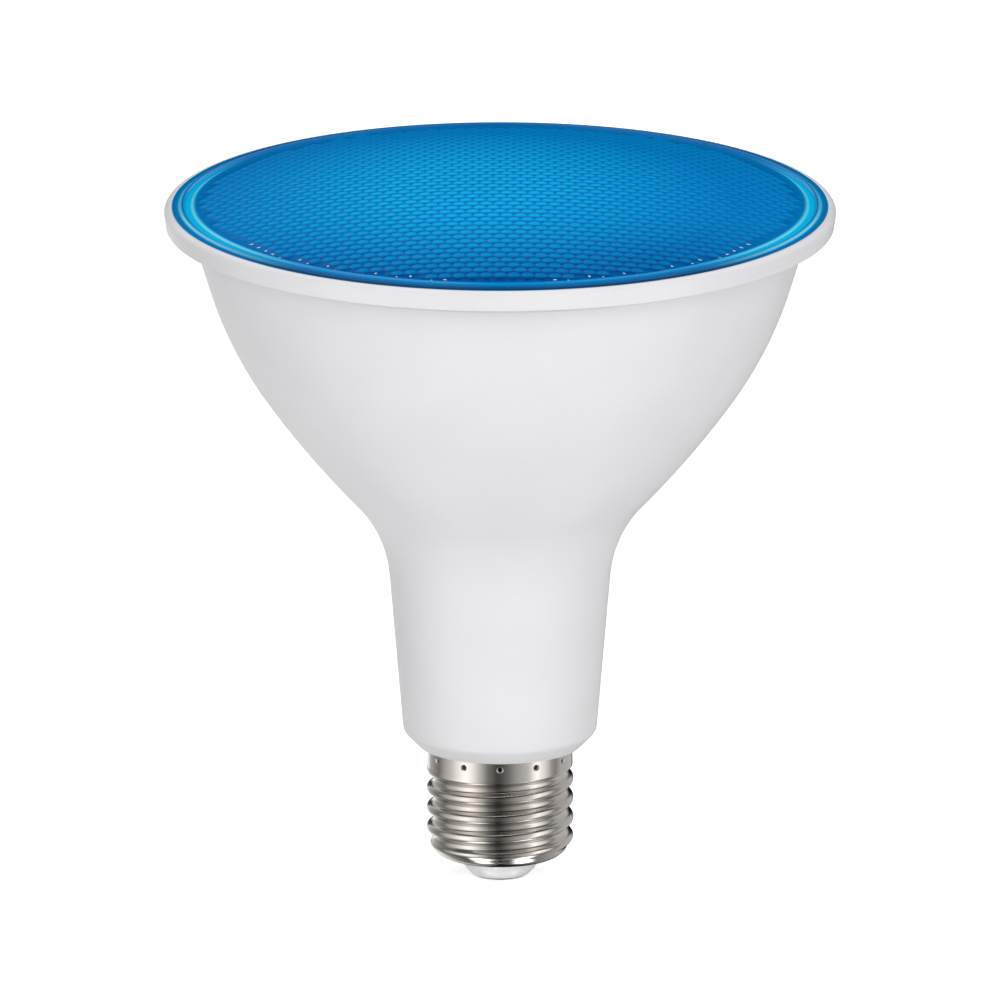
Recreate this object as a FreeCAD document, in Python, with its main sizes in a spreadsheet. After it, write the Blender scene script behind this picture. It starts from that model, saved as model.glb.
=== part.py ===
import FreeCAD
import Part

import math
import os
import re

import Sketcher

# Par spotlight bulb with a dimpled lens: a screw-in LED flood lamp, as a parametric document.
# The origin is the middle of the centre contact's lower face. +Z runs up the lamp's axis to the lens.
# Every length is in millimetres and every angle in degrees.

# The driving dimensions, each with an alias of its own in the sheet named Sizes.
SIZES = {
    # Screw cap: contact, insulator and rolled shell
    "contact_radius": 4.7,
    "contact_thickness": 0.25,
    "rivet_radius": 1.6,
    "rivet_bore": 0.7,
    "rivet_floor": 0.5,
    "rivet_rise": 0.8,
    "rivet_play": 0.1,
    "nose_foot_radius": 5.1,
    "nose_radius": 7.5,
    "nose_curve": 8.1,
    "insulator_flange_reach": 1.5,
    "insulator_flange_thickness": 1.4,
    "shell_lip_height": 3.65,
    "shell_hole_play": 0.2,
    "shell_wall": 0.35,
    "dome_curve": 3.45,
    "thread_radius": 13.2,
    "thread_depth": 1.15,
    "thread_pitch": 3.6,
    "thread_turns": 4,
    "collar_neck": 0.7,
    "collar_length": 3.65,
    "collar_step": 0.15,
    "collar_play": 0.1,
    "crimp_count": 12,
    "crimp_drop": 1.45,
    "crimp_radius": 0.5,
    "crimp_depth": 0.2,
    # Housing: spigot, neck, waist and bell, one moulding
    "housing_wall": 1.8,
    "spigot_length": 10.15,
    "spigot_wall": 1.7,
    "spigot_play": 0.4,
    "spigot_step_play": 0.2,
    "housing_end_overhang": 1.5,
    "neck_end_radius": 17.387,
    "neck_end_round": 3.0,
    "neck_length": 28.513,
    "neck_draft": 4.92,
    "waist_curve": 23.5,
    "waist_angle": 43.6,
    "bell_lower_curve": 172.8,
    "bell_angle": 35.3,
    "bell_upper_curve": 73.0,
    "mouth_angle": 17.2,
    "mouth_rise": 10.95,
    "flange_reach": 3.525,
    "flange_thickness": 1.6,
    # Front ring, gasket and lens
    "ring_rise": 3.4,
    "ring_drop": 0.2,
    "ring_draft": 0.35,
    "ring_top_round": 1.2,
    "ring_foot_round": 0.4,
    "ring_wall": 0.95,
    "ring_play": 0.175,
    "ring_lip": 1.425,
    "ring_lip_thickness": 0.65,
    "gasket_thickness": 0.4,
    "gasket_margin": 0.8,
    "lens_play": 0.15,
    "bead_inset": 1.6,
    "bead_width": 0.9,
    "bead_rise": 0.35,
    "field_inset": 4.05,
    "field_step": 0.35,
    "field_ramp": 0.45,
    "field_rise": 5.4,
    "lens_wall": 2.0,
    "lens_rib_play": 0.3,
    "lens_rib_width": 1.1,
    "lens_rib_depth": 1.6,
    # Light engine: heat sink dish, LED board, LED packages and screws
    "sink_lift": 6.997,
    "sink_plate": 2.0,
    "sink_skirt": 1.3,
    "sink_rise": 13.0,
    "sink_play": 0.3,
    "board_margin": 7.23,
    "board_thickness": 1.6,
    "boss_inset": 5.0,
    "boss_radius": 3.4,
    "boss_count": 3,
    "pilot_play": 0.05,
    "pilot_spare": 1.5,
    "screw_radius": 1.2,
    "screw_bite": 7.0,
    "screw_head_radius": 2.8,
    "screw_head_height": 1.8,
    "screw_hole_play": 0.4,
    "led_size": 3.0,
    "led_height": 0.7,
    "led_window_radius": 1.15,
    "led_window_depth": 0.25,
    "led_inner_circle": 12.0,
    "led_outer_circle": 24.0,
    "led_count": 6,
    # Driver: board, its slots in the neck, and what is soldered to it
    "driver_length": 47.0,
    "driver_thickness": 1.6,
    "slot_play": 0.2,
    "slot_rise": 24.5,
    "slot_floor": 1.0,
    "rail_back": 1.9,
    "rail_width": 1.3,
    "rail_reach": 1.6,
    "part_play": 0.2,
    "bulk_radius": 5.0,
    "bulk_length": 16.0,
    "bulk_place": 5.5,
    "bulk_rise": 7.6,
    "output_radius": 4.0,
    "output_length": 12.0,
    "output_place": 5.2,
    "output_rise": 29.6,
    "can_groove_width": 0.8,
    "can_groove_depth": 0.3,
    "can_round": 0.5,
    "can_groove_rise": 1.6,
    "film_width": 9.0,
    "film_depth": 5.0,
    "film_length": 11.0,
    "film_place": 6.5,
    "film_rise": 6.6,
    "film_round": 0.7,
    "drum_radius": 5.5,
    "drum_length": 10.0,
    "drum_flange": 1.4,
    "drum_neck": 3.0,
    "drum_place": 5.8,
    "drum_rise": 23.6,
    "winding_play": 0.15,
    "winding_inset": 0.5,
    "bridge_width": 4.7,
    "bridge_length": 3.9,
    "bridge_height": 2.5,
    "bridge_rise": 10.6,
    "chip_width": 3.9,
    "chip_length": 4.9,
    "chip_height": 1.5,
    "chip_rise": 26.6,
    "leg_reach": 1.05,
    "leg_width": 0.45,
    "leg_pitch": 1.27,
    "leg_thickness": 0.25,
    "fuse_radius": 1.8,
    "fuse_length": 9.0,
    "fuse_rise": 10.5,
    "fuse_round": 0.6,
    "fuse_lead_radius": 0.35,
    "fuse_overlap": 3.5,
    "lead_radius": 0.65,
    "lead_play": 0.1,
    "lead_overlap": 4.0,
    "lead_bend": 2.2,
    "lead_end": 1.9,
    "output_lead_place": 2.4,
    "neutral_lead_place": 7.2,
    "neutral_lead_drop": 1.5,
    "neutral_lead_gap": 0.25,
}

# Places that follow from the driving dimensions, worked out in the sheet named Places.
# The bell's outline is a chain of tangent arcs, climbing from the neck: each point is the end of the
# arc below it. Its inner wall is the same chain, moved in along each point's normal by the wall.
PLACES = {
    "insulator_seat": "shell_lip_height + shell_wall",
    "insulator_top": "insulator_seat + insulator_flange_thickness",
    "insulator_bore": "rivet_radius + rivet_play",
    "shell_hole_radius": "nose_radius + shell_hole_play",
    "thread_middle": "thread_radius - thread_depth / 2",
    "thread_curve": "(thread_pitch ^ 2 / 4 + thread_depth ^ 2) / (4 * thread_depth)",
    "dome_centre_radius": "thread_middle - dome_curve",
    "dome_centre_height": "shell_lip_height + dome_curve",
    "collar_foot": "dome_centre_height + (2 * thread_turns - 1) * thread_pitch / 2 + collar_neck",
    "shell_inner_root": "thread_radius - thread_depth - shell_wall",
    "shell_top": "collar_foot + collar_length",
    "collar_radius": "thread_radius - collar_step",
    "crimp_curve": "(crimp_radius ^ 2 + crimp_depth ^ 2) / (2 * crimp_depth)",
    "spigot_radius": "collar_radius - shell_wall - collar_play",
    "spigot_foot_radius": "shell_inner_root - spigot_play",
    "spigot_bore": "spigot_foot_radius - spigot_wall",
    "housing_end_height": "shell_top + collar_play",
    "spigot_end": "housing_end_height - spigot_length",
    "housing_end_radius": "collar_radius + housing_end_overhang",
    "chamfer_height": "housing_end_height + neck_end_radius - housing_end_radius",
    "round_reach": "neck_end_round * tan((45 - neck_draft) / 2)",
    "neck_top_height": "chamfer_height + neck_length",
    "neck_top_radius": "neck_end_radius + neck_length * tan(neck_draft)",
    "waist_radius": "neck_top_radius + waist_curve * (cos(neck_draft) - cos(waist_angle))",
    "waist_height": "neck_top_height + waist_curve * (sin(waist_angle) - sin(neck_draft))",
    "bell_radius": "waist_radius + bell_lower_curve * (cos(bell_angle) - cos(waist_angle))",
    "bell_height": "waist_height + bell_lower_curve * (sin(waist_angle) - sin(bell_angle))",
    "bell_centre_radius": "bell_radius - bell_upper_curve * cos(bell_angle)",
    "bell_centre_height": "bell_height + bell_upper_curve * sin(bell_angle)",
    "cone_radius": "bell_radius + bell_upper_curve * (cos(mouth_angle) - cos(bell_angle))",
    "cone_height": "bell_height + bell_upper_curve * (sin(bell_angle) - sin(mouth_angle))",
    "mouth_height": "cone_height + mouth_rise",
    "mouth_radius": "cone_radius + mouth_rise * tan(mouth_angle)",
    "mouth_bore": "mouth_radius - housing_wall / cos(mouth_angle)",
    "neck_bore": "neck_end_radius - housing_wall / cos(neck_draft)",
    "well_lift": "housing_end_height - spigot_radius + housing_wall",
    "well_radius": "(neck_bore + (well_lift - chamfer_height) * tan(neck_draft)) / (1 - tan(neck_draft))",
    "flange_top": "mouth_height + flange_thickness",
    "flange_bore": "mouth_bore + flange_thickness * tan(mouth_angle)",
    "rim_radius": "mouth_radius + flange_reach",
    "ring_bore": "rim_radius + ring_play",
    "ring_radius": "ring_bore + ring_wall",
    "ring_top": "mouth_height + ring_rise",
    "ring_foot": "mouth_height - ring_drop",
    "ring_lip_radius": "ring_radius - ring_lip",
    "ring_lip_underside": "ring_top - ring_lip_thickness",
    "lens_underside": "flange_top + gasket_thickness",
    "lens_top": "ring_top + lens_play / 2",
    "lens_radius": "ring_lip_radius - lens_play",
    "lens_ledge_top": "ring_lip_underside - lens_play",
    "bead_radius": "lens_radius - bead_inset",
    "bead_curve": "(bead_width ^ 2 / 4 + bead_rise ^ 2) / (2 * bead_rise)",
    "field_radius": "lens_radius - field_inset",
    "field_height": "lens_top + field_step",
    "field_curve": "(field_radius ^ 2 + field_rise ^ 2) / (2 * field_rise)",
    "field_centre": "field_height + field_rise - field_curve",
    "inner_curve": "field_curve - lens_wall",
    "rib_outer_radius": "mouth_bore - lens_rib_play",
    "rib_inner_radius": "rib_outer_radius - lens_rib_width",
    "inner_edge_height": "field_centre + sqrt(inner_curve ^ 2 - rib_inner_radius ^ 2)",
    "sink_curve": "bell_upper_curve - housing_wall - sink_play",
    "sink_height": "bell_height + sink_lift",
    "sink_top": "sink_height + sink_plate",
    "sink_rim_height": "sink_height + sink_rise",
    "sink_floor_curve": "sink_curve - sink_skirt",
    "sink_floor_radius": "bell_centre_radius + sqrt(sink_floor_curve ^ 2 - (bell_centre_height - sink_top) ^ 2)",
    "board_radius": "sink_floor_radius - board_margin",
    "boss_circle": "board_radius - boss_inset",
    "board_top": "sink_top + board_thickness",
    "wire_hole_radius": "output_lead_place + lead_bend",
    "screw_hole_radius": "screw_radius + screw_hole_play",
    "screw_point": "sink_height - screw_bite",
    "driver_front": "fuse_lead_radius + lead_play",
    "driver_back": "driver_front + driver_thickness",
    "driver_middle": "driver_front + driver_thickness / 2",
    "slot_half_width": "driver_thickness / 2 + slot_play",
    "slot_reach": "neck_bore - rail_back",
    "driver_half_width": "slot_reach - slot_play",
    "slot_bottom": "chamfer_height",
    "driver_bottom": "slot_bottom + slot_play",
    "driver_top": "driver_bottom + driver_length",
    "can_groove_curve": "(can_groove_width ^ 2 / 4 + can_groove_depth ^ 2) / (2 * can_groove_depth)",
    "part_front": "driver_front - part_play",
    "part_back": "driver_back + part_play",
    "lead_front": "driver_front - lead_play - lead_radius",
    "lead_back": "driver_back + lead_play + lead_radius",
}

NAMES = re.compile(r"[a-z][a-z_]*[a-z]")
doc = FreeCAD.newDocument("par_spotlight_bulb")


def full(text):
    """The expression with each name led by the sheet that holds it."""
    def lead(found):
        name = found.group()
        if name in SIZES:
            return "Sizes." + name
        return "Places." + name if name in PLACES else name

    return NAMES.sub(lead, text)


def make_sheets():
    """The two sheets: plain numbers in Sizes, and formulas that use them in Places."""
    sizes = doc.addObject("Spreadsheet::Sheet", "Sizes")
    for row, (name, number) in enumerate(SIZES.items(), 1):
        sizes.set(f"A{row}", name)
        sizes.set(f"B{row}", str(number))
        sizes.setAlias(f"B{row}", name)
    doc.recompute()
    places = doc.addObject("Spreadsheet::Sheet", "Places")
    for row, name in enumerate(PLACES, 1):
        places.set(f"A{row}", name)
        places.setAlias(f"B{row}", name)
        places.set(f"B{row}", "=" + full(PLACES[name]))
    doc.recompute()
    return places


places = make_sheets()


def value(text):
    """The present value of an expression, as a plain number."""
    found = places.evalExpression(full(text))
    return float(getattr(found, "Value", found))


def bind(target, **expressions):
    """Binds properties of target; a double underscore in a name stands for a dot."""
    for prop, text in expressions.items():
        target.setExpression(prop.replace("__", "."), full(text))


# Sketches

def arc_between(start, end, radius, side):
    """The arc from start to end, whose centre is on the left of the way (side 1) or its right (-1)."""
    way = end - start
    off = math.sqrt(max(radius * radius - way.Length ** 2 / 4, 0.0))
    left = FreeCAD.Vector(-way.y, way.x, 0).normalize()
    centre = (start + end) / 2 + left * (off * side)
    turns = [math.atan2(p.y - centre.y, p.x - centre.x) for p in (start, end)]
    first, last = turns if side > 0 else turns[::-1]
    return Part.ArcOfCircle(Part.Circle(centre, FreeCAD.Vector(0, 0, 1), radius), first, last)


def plane_of(body, role):
    """One of a body's own origin planes."""
    return next(f for f in body.Origin.OriginFeatures if f.Role == role)


def sketch_on(body, name, role, offset="0"):
    """An empty sketch on one of the body's own origin planes, or offset along that plane's normal."""
    sketch = body.newObject("Sketcher::SketchObject", name)
    sketch.AttachmentSupport = [(plane_of(body, role), "")]
    sketch.MapMode = "FlatFace"
    if offset != "0":
        bind(sketch, AttachmentOffset__Base__z=offset)
    return sketch


def constrain(sketch, wanted):
    """Adds constraints: each is a tuple of Sketcher's own arguments and the expression that binds it."""
    made = []
    for args, text in wanted:
        made.append(Sketcher.Constraint(*args, value(text)) if text else Sketcher.Constraint(*args))
    first = sketch.ConstraintCount
    sketch.addConstraint(made)
    for number, (args, text) in enumerate(wanted, first):
        if text:
            sketch.setExpression(f"Constraints[{number}]", full(text))


def pin(geometry, point, x, y):
    """The two constraints that hold a point at x, y."""
    held = []
    for kind, axis, text in (("DistanceX", -2, x), ("DistanceY", -1, y)):
        if text == "0":
            held.append((("PointOnObject", geometry, point, axis), None))
        else:
            held.append(((kind, -1, 1, geometry, point), text))
    return held


def outline(sketch, corners, arcs=None, closed=True):
    """Draws an outline. corners are pairs of expressions; arcs gives, for the edge that leaves a
    corner, its radius and the side that its centre lies on."""
    arcs = arcs or {}
    points = [FreeCAD.Vector(value(x), value(y), 0) for x, y in corners]
    edges = len(points) if closed else len(points) - 1
    first = sketch.GeometryCount
    wanted = []

    def tip(edge, at_start):
        if edge in arcs and arcs[edge][1] < 0:
            at_start = not at_start
        return 1 if at_start else 2

    for n in range(edges):
        end = points[(n + 1) % len(points)]
        if n in arcs:
            radius, side = arcs[n]
            sketch.addGeometry(arc_between(points[n], end, value(radius), side), False)
            wanted.append((("Radius", first + n), radius))
        else:
            sketch.addGeometry(Part.LineSegment(points[n], end), False)
        wanted += pin(first + n, tip(n, True), *corners[n])
        if n > 0:
            wanted.append((("Coincident", first + n - 1, tip(n - 1, False), first + n, tip(n, True)), None))
    if closed:
        last = edges - 1
        wanted.append((("Coincident", first + last, tip(last, False), first, tip(0, True)), None))
    else:
        wanted += pin(first + edges - 1, tip(edges - 1, False), *corners[-1])
    constrain(sketch, wanted)


def rectangle(sketch, x_low, x_high, y_low, y_high):
    """Draws a rectangle."""
    outline(sketch, [(x_low, y_low), (x_high, y_low), (x_high, y_high), (x_low, y_high)])


def circle(sketch, x, y, radius):
    """Draws a circle."""
    centre = FreeCAD.Vector(value(x), value(y), 0)
    number = sketch.addGeometry(Part.Circle(centre, FreeCAD.Vector(0, 0, 1), value(radius)), False)
    constrain(sketch, pin(number, 3, x, y) + [(("Radius", number), radius)])


# Features

def new_body(name):
    """An empty body that becomes one sub-part."""
    body = doc.addObject("PartDesign::Body", name)
    body.Label = name
    return body


def turned(name, corners, arcs=None, place="0", depth="0"):
    """A body turned from a half section about the lamp's axis, or about an upright at place, depth."""
    body = new_body(name)
    sketch = sketch_on(body, name + "_section", "XZ_Plane")
    if place != "0":
        bind(sketch, AttachmentOffset__Base__x=place, AttachmentOffset__Base__z=f"-({depth})")
    outline(sketch, corners, arcs)
    turn = body.newObject("PartDesign::Revolution", name + "_turned")
    turn.Profile = sketch
    turn.ReferenceAxis = (sketch, ["V_Axis"])
    turn.Angle = 360
    return body


def pad(body, sketch, length, down=False):
    """Raises a sketch by length, or lowers it."""
    feature = body.newObject("PartDesign::Pad", sketch.Name + "_pad")
    feature.Profile = sketch
    feature.Reversed = down
    bind(feature, Length=length)
    return feature


def pocket(body, sketch, length, up=False):
    """Cuts a sketch down by length, or up."""
    feature = body.newObject("PartDesign::Pocket", sketch.Name + "_pocket")
    feature.Profile = sketch
    feature.Reversed = up
    bind(feature, Length=length)
    return feature


def polar(body, name, originals, sketch, count):
    """Repeats features about the lamp's axis."""
    pattern = body.newObject("PartDesign::PolarPattern", name)
    pattern.Originals = originals
    pattern.Axis = (sketch, ["N_Axis"])
    pattern.Angle = 360
    bind(pattern, Occurrences=count)
    body.Tip = pattern
    return pattern


def block(name, kind, x="0", y="0", z="0", **sizes):
    """A primitive solid whose corner or centre stands at x, y, z."""
    solid = doc.addObject(kind, name)
    bind(solid, Placement__Base__x=x, Placement__Base__y=y, Placement__Base__z=z, **sizes)
    return solid


def named(feature, name):
    """Gives a finished sub-part its name."""
    feature.Label = name
    return feature


# Screw cap

def centre_contact():
    """The stamped contact disc, and the hollow rivet that holds it and takes the live lead."""
    rivet_top = "insulator_top + rivet_rise"
    return turned("centre_contact", [
        ("0", "0"),
        ("contact_radius", "0"),
        ("contact_radius", "contact_thickness"),
        ("rivet_radius", "contact_thickness"),
        ("rivet_radius", rivet_top),
        ("rivet_bore", rivet_top),
        ("rivet_bore", "rivet_floor"),
        ("0", "rivet_floor"),
    ])


def base_insulator():
    """The white nose, which comes through the shell's end and rests on it with its flange."""
    flange = "nose_radius + insulator_flange_reach"
    return turned("base_insulator", [
        ("insulator_bore", "contact_thickness"),
        ("nose_foot_radius", "contact_thickness"),
        ("nose_radius", "shell_lip_height"),
        ("nose_radius", "insulator_seat"),
        (flange, "insulator_seat"),
        (flange, "insulator_top"),
        ("insulator_bore", "insulator_top"),
    ], {1: ("nose_curve", 1)})


def screw_shell():
    """The rolled shell: one thin skin from its flat end, round the dome and over the knuckle thread's
    crests and roots to the collar, which is punched inwards at evenly spaced crimps."""
    waves = 2 * round(value("thread_turns")) - 1
    lean = "asin(thread_pitch / (4 * thread_curve))"
    outer = [("shell_hole_radius", "shell_lip_height"), ("dome_centre_radius", "shell_lip_height")]
    arcs = {1: ("dome_curve", 1)}
    inner = []
    for wave in range(waves + 1):
        height = f"dome_centre_height + {wave} * thread_pitch / 2"
        side = 1 if wave % 2 == 0 else -1
        outer.append(("thread_middle", height))
        inner.append((f"thread_middle - shell_wall * cos({lean})", f"{height} + {side} * shell_wall * sin({lean})"))
        if wave < waves:
            arcs[len(outer) - 1] = ("thread_curve", side)
    corners = outer + [
        ("collar_radius", "collar_foot"),
        ("collar_radius", "shell_top"),
        ("collar_radius - shell_wall", "shell_top"),
        ("collar_radius - shell_wall", "collar_foot"),
    ]
    for wave in reversed(range(waves)):
        side = 1 if wave % 2 == 0 else -1
        arcs[len(corners) + waves - 1 - wave] = (f"thread_curve - {side} * shell_wall", -side)
    corners += reversed(inner)
    arcs[len(corners)] = ("dome_curve - shell_wall", -1)
    corners += [
        ("thread_middle - shell_wall", "dome_centre_height"),
        ("dome_centre_radius", "insulator_seat"),
        ("shell_hole_radius", "insulator_seat"),
    ]
    body = turned("screw_shell", corners, arcs)
    doc.recompute()
    crimp = body.newObject("PartDesign::SubtractiveSphere", "crimp")
    crimp.AttachmentSupport = [(plane_of(body, "XY_Plane"), "")]
    crimp.MapMode = "FlatFace"
    bind(crimp, Radius="crimp_curve", AttachmentOffset__Base__z="shell_top - crimp_drop",
         AttachmentOffset__Base__y="-(collar_radius - crimp_depth + crimp_curve)")
    doc.recompute()
    polar(body, "crimps", [crimp], body.Group[0], "crimp_count")
    return body


# Housing and front

def housing():
    """The moulded housing: spigot, tapered neck and flared bell, with the driver's slots and the
    screw bosses inside."""
    wall = "housing_wall"
    body = turned("housing", [
        ("spigot_bore", "spigot_end"),
        ("spigot_foot_radius", "spigot_end"),
        ("spigot_foot_radius", "collar_foot + spigot_step_play"),
        ("spigot_radius", "collar_foot + spigot_step_play"),
        ("spigot_radius", "housing_end_height"),
        ("housing_end_radius", "housing_end_height"),
        ("neck_end_radius - round_reach * sin(45)", "chamfer_height - round_reach * cos(45)"),
        ("neck_end_radius + round_reach * sin(neck_draft)", "chamfer_height + round_reach * cos(neck_draft)"),
        ("neck_top_radius", "neck_top_height"),
        ("waist_radius", "waist_height"),
        ("bell_radius", "bell_height"),
        ("cone_radius", "cone_height"),
        ("mouth_radius", "mouth_height"),
        ("rim_radius", "mouth_height"),
        ("rim_radius", "flange_top"),
        ("flange_bore", "flange_top"),
        (f"cone_radius - {wall} * cos(mouth_angle)", f"cone_height + {wall} * sin(mouth_angle)"),
        (f"bell_radius - {wall} * cos(bell_angle)", f"bell_height + {wall} * sin(bell_angle)"),
        (f"waist_radius - {wall} * cos(waist_angle)", f"waist_height + {wall} * sin(waist_angle)"),
        (f"neck_top_radius - {wall} * cos(neck_draft)", f"neck_top_height + {wall} * sin(neck_draft)"),
        ("well_radius", "well_radius + well_lift"),
        ("spigot_bore", "spigot_bore + well_lift"),
    ], {
        6: ("neck_end_round", 1),
        8: ("waist_curve", -1),
        9: ("bell_lower_curve", 1),
        10: ("bell_upper_curve", 1),
        16: (f"bell_upper_curve - {wall}", -1),
        17: (f"bell_lower_curve - {wall}", -1),
        18: (f"waist_curve + {wall}", 1),
    })
    rails = sketch_on(body, "rails", "XY_Plane", "slot_bottom - slot_floor")
    slots = sketch_on(body, "slots", "XY_Plane", "slot_bottom")
    wide = "slot_half_width + rail_width"
    for side in ("", "-"):
        near, far = f"{side}(slot_reach - rail_reach)", f"{side}(neck_bore + housing_wall / 3)"
        slot_near, slot_far = f"{side}(slot_reach - rail_reach - slot_play)", f"{side}slot_reach"
        if side:
            near, far, slot_near, slot_far = far, near, slot_far, slot_near
        rectangle(rails, near, far, f"driver_middle - {wide}", f"driver_middle + {wide}")
        rectangle(slots, slot_near, slot_far, "driver_middle - slot_half_width",
                  "driver_middle + slot_half_width")
    pad(body, rails, "slot_rise + slot_floor")
    doc.recompute()
    pocket(body, slots, "slot_rise", up=True)
    doc.recompute()
    bosses = sketch_on(body, "bosses", "XY_Plane", "sink_height")
    circle(bosses, "boss_circle", "0", "boss_radius")
    boss = pad(body, bosses, "boss_radius", down=True)
    boss.Type = "UpToFirst"
    doc.recompute()
    pilots = sketch_on(body, "pilots", "XY_Plane", "sink_height")
    circle(pilots, "boss_circle", "0", "screw_radius + pilot_play")
    pilot = pocket(body, pilots, "screw_bite + pilot_spare")
    doc.recompute()
    polar(body, "boss_ring", [boss, pilot], bosses, "boss_count")
    return body


def front_ring():
    """The snap-on ring: a drafted side, a rounded front edge and a lip that holds the lens."""
    foot = "ring_radius - ring_draft"
    return turned("front_ring", [
        ("ring_bore", "ring_foot"),
        (f"{foot} - ring_foot_round", "ring_foot"),
        (foot, "ring_foot + ring_foot_round"),
        ("ring_radius", "ring_top - ring_top_round"),
        ("ring_radius - ring_top_round", "ring_top"),
        ("ring_lip_radius", "ring_top"),
        ("ring_lip_radius", "ring_lip_underside"),
        ("ring_bore", "ring_lip_underside"),
    ], {1: ("ring_foot_round", 1), 3: ("ring_top_round", 1)})


def lens_gasket():
    """The flat gasket between the housing's flange and the lens."""
    return turned("lens_gasket", [
        ("flange_bore + gasket_margin", "flange_top"),
        ("rim_radius - gasket_margin", "flange_top"),
        ("rim_radius - gasket_margin", "lens_underside"),
        ("flange_bore + gasket_margin", "lens_underside"),
    ])


def lens():
    """The moulded lens: ledge under the ring's lip, beaded rim, raised dome and locating rib."""
    rib_foot = "lens_underside - lens_rib_depth"
    return turned("lens", [
        ("rib_inner_radius", rib_foot),
        ("rib_outer_radius", rib_foot),
        ("rib_outer_radius", "lens_underside"),
        ("rim_radius", "lens_underside"),
        ("rim_radius", "lens_ledge_top"),
        ("lens_radius", "lens_ledge_top"),
        ("lens_radius", "lens_top"),
        ("bead_radius + bead_width / 2", "lens_top"),
        ("bead_radius - bead_width / 2", "lens_top"),
        ("field_radius + field_ramp", "lens_top"),
        ("field_radius", "field_height"),
        ("0", "field_height + field_rise"),
        ("0", "field_height + field_rise - lens_wall"),
        ("rib_inner_radius", "inner_edge_height"),
    ], {7: ("bead_curve", 1), 10: ("field_curve", 1), 12: ("inner_curve", -1)})


# Light engine

def heat_sink():
    """The pressed dish that carries the LED board and spreads its heat to the bell."""
    def reach(height, inset):
        return f"bell_centre_radius + sqrt((sink_curve - {inset}) ^ 2 - (bell_centre_height - {height}) ^ 2)"

    body = turned("heat_sink", [
        ("wire_hole_radius", "sink_height"),
        (reach("sink_height", "0"), "sink_height"),
        (reach("sink_rim_height", "0"), "sink_rim_height"),
        (reach("sink_rim_height", "sink_skirt"), "sink_rim_height"),
        ("sink_floor_radius", "sink_top"),
        ("wire_hole_radius", "sink_top"),
    ], {1: ("sink_curve", 1), 3: ("sink_floor_curve", -1)})
    holes = sketch_on(body, "sink_holes", "XY_Plane", "sink_top")
    circle(holes, "boss_circle", "0", "screw_hole_radius")
    hole = pocket(body, holes, "sink_plate")
    doc.recompute()
    polar(body, "sink_hole_ring", [hole], holes, "boss_count")
    return body


def led_board():
    """The round LED board, with its wire hole and screw holes."""
    body = new_body("led_board")
    disc = sketch_on(body, "board_disc", "XY_Plane", "sink_top")
    circle(disc, "0", "0", "board_radius")
    circle(disc, "0", "0", "wire_hole_radius")
    pad(body, disc, "board_thickness")
    holes = sketch_on(body, "board_holes", "XY_Plane", "board_top")
    circle(holes, "boss_circle", "0", "screw_hole_radius")
    hole = pocket(body, holes, "board_thickness")
    doc.recompute()
    polar(body, "board_hole_ring", [hole], holes, "boss_count")
    return body


def led_packages():
    """The LED packages: square carriers with a round window, on an inner and an outer circle."""
    body = new_body("led_packages")
    body.AllowCompound = True
    carriers = sketch_on(body, "carriers", "XY_Plane", "board_top")
    windows = sketch_on(body, "windows", "XY_Plane", "board_top + led_height")
    turn = "180 / led_count"
    for distance, angle in (("led_inner_circle", "0"), ("led_outer_circle", "0"), ("led_outer_circle", turn)):
        middle = (f"{distance} * cos({angle})", f"{distance} * sin({angle})")
        if angle == "0":
            middle = (distance, "0")
        corners = []
        for along, across in ((-1, -1), (1, -1), (1, 1), (-1, 1)):
            x = f"{distance} * cos({angle}) + led_size / 2 * ({along} * cos({angle}) - {across} * sin({angle}))"
            y = f"{distance} * sin({angle}) + led_size / 2 * ({along} * sin({angle}) + {across} * cos({angle}))"
            corners.append((x, y))
        outline(carriers, corners)
        circle(windows, *middle, "led_window_radius")
    carrier = pad(body, carriers, "led_height")
    doc.recompute()
    window = pocket(body, windows, "led_window_depth")
    doc.recompute()
    polar(body, "led_rings", [carrier, window], carriers, "led_count")
    return body


def board_screws():
    """The pan-head screws that hold board and dish to the housing's bosses, one solid each."""
    body = new_body("board_screws")
    body.AllowCompound = True
    heads = sketch_on(body, "heads", "XY_Plane", "board_top")
    circle(heads, "boss_circle", "0", "screw_head_radius")
    head = pad(body, heads, "screw_head_height")
    shanks = sketch_on(body, "shanks", "XY_Plane", "board_top")
    circle(shanks, "boss_circle", "0", "screw_radius")
    shank = pad(body, shanks, "board_top - screw_point", down=True)
    doc.recompute()
    recesses = sketch_on(body, "recesses", "XY_Plane", "board_top + screw_head_height")
    half, reach = "screw_radius / 4", "screw_radius"
    outline(recesses, [
        (f"boss_circle + {x}", y) for x, y in (
            (f"-{reach}", f"-{half}"), (f"-{half}", f"-{half}"), (f"-{half}", f"-{reach}"),
            (half, f"-{reach}"), (half, f"-{half}"), (reach, f"-{half}"),
            (reach, half), (half, half), (half, reach),
            (f"-{half}", reach), (f"-{half}", half), (f"-{reach}", half))
    ])
    recess = pocket(body, recesses, "screw_head_height / 2")
    doc.recompute()
    polar(body, "screw_ring", [head, shank, recess], heads, "boss_count")
    return body


# Driver

def driver_board():
    """The upright driver board, whose edges stand in the neck's slots."""
    body = new_body("driver_board")
    face = sketch_on(body, "driver_face", "XZ_Plane", "-driver_back")
    corner = "slot_floor"
    outline(face, [
        (f"-(driver_half_width - {corner})", "driver_bottom"),
        (f"driver_half_width - {corner}", "driver_bottom"),
        ("driver_half_width", f"driver_bottom + {corner}"),
        ("driver_half_width", f"driver_top - {corner}"),
        (f"driver_half_width - {corner}", "driver_top"),
        (f"-(driver_half_width - {corner})", "driver_top"),
        ("-driver_half_width", f"driver_top - {corner}"),
        ("-driver_half_width", f"driver_bottom + {corner}"),
    ])
    pad(body, face, "driver_thickness")
    return body


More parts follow.
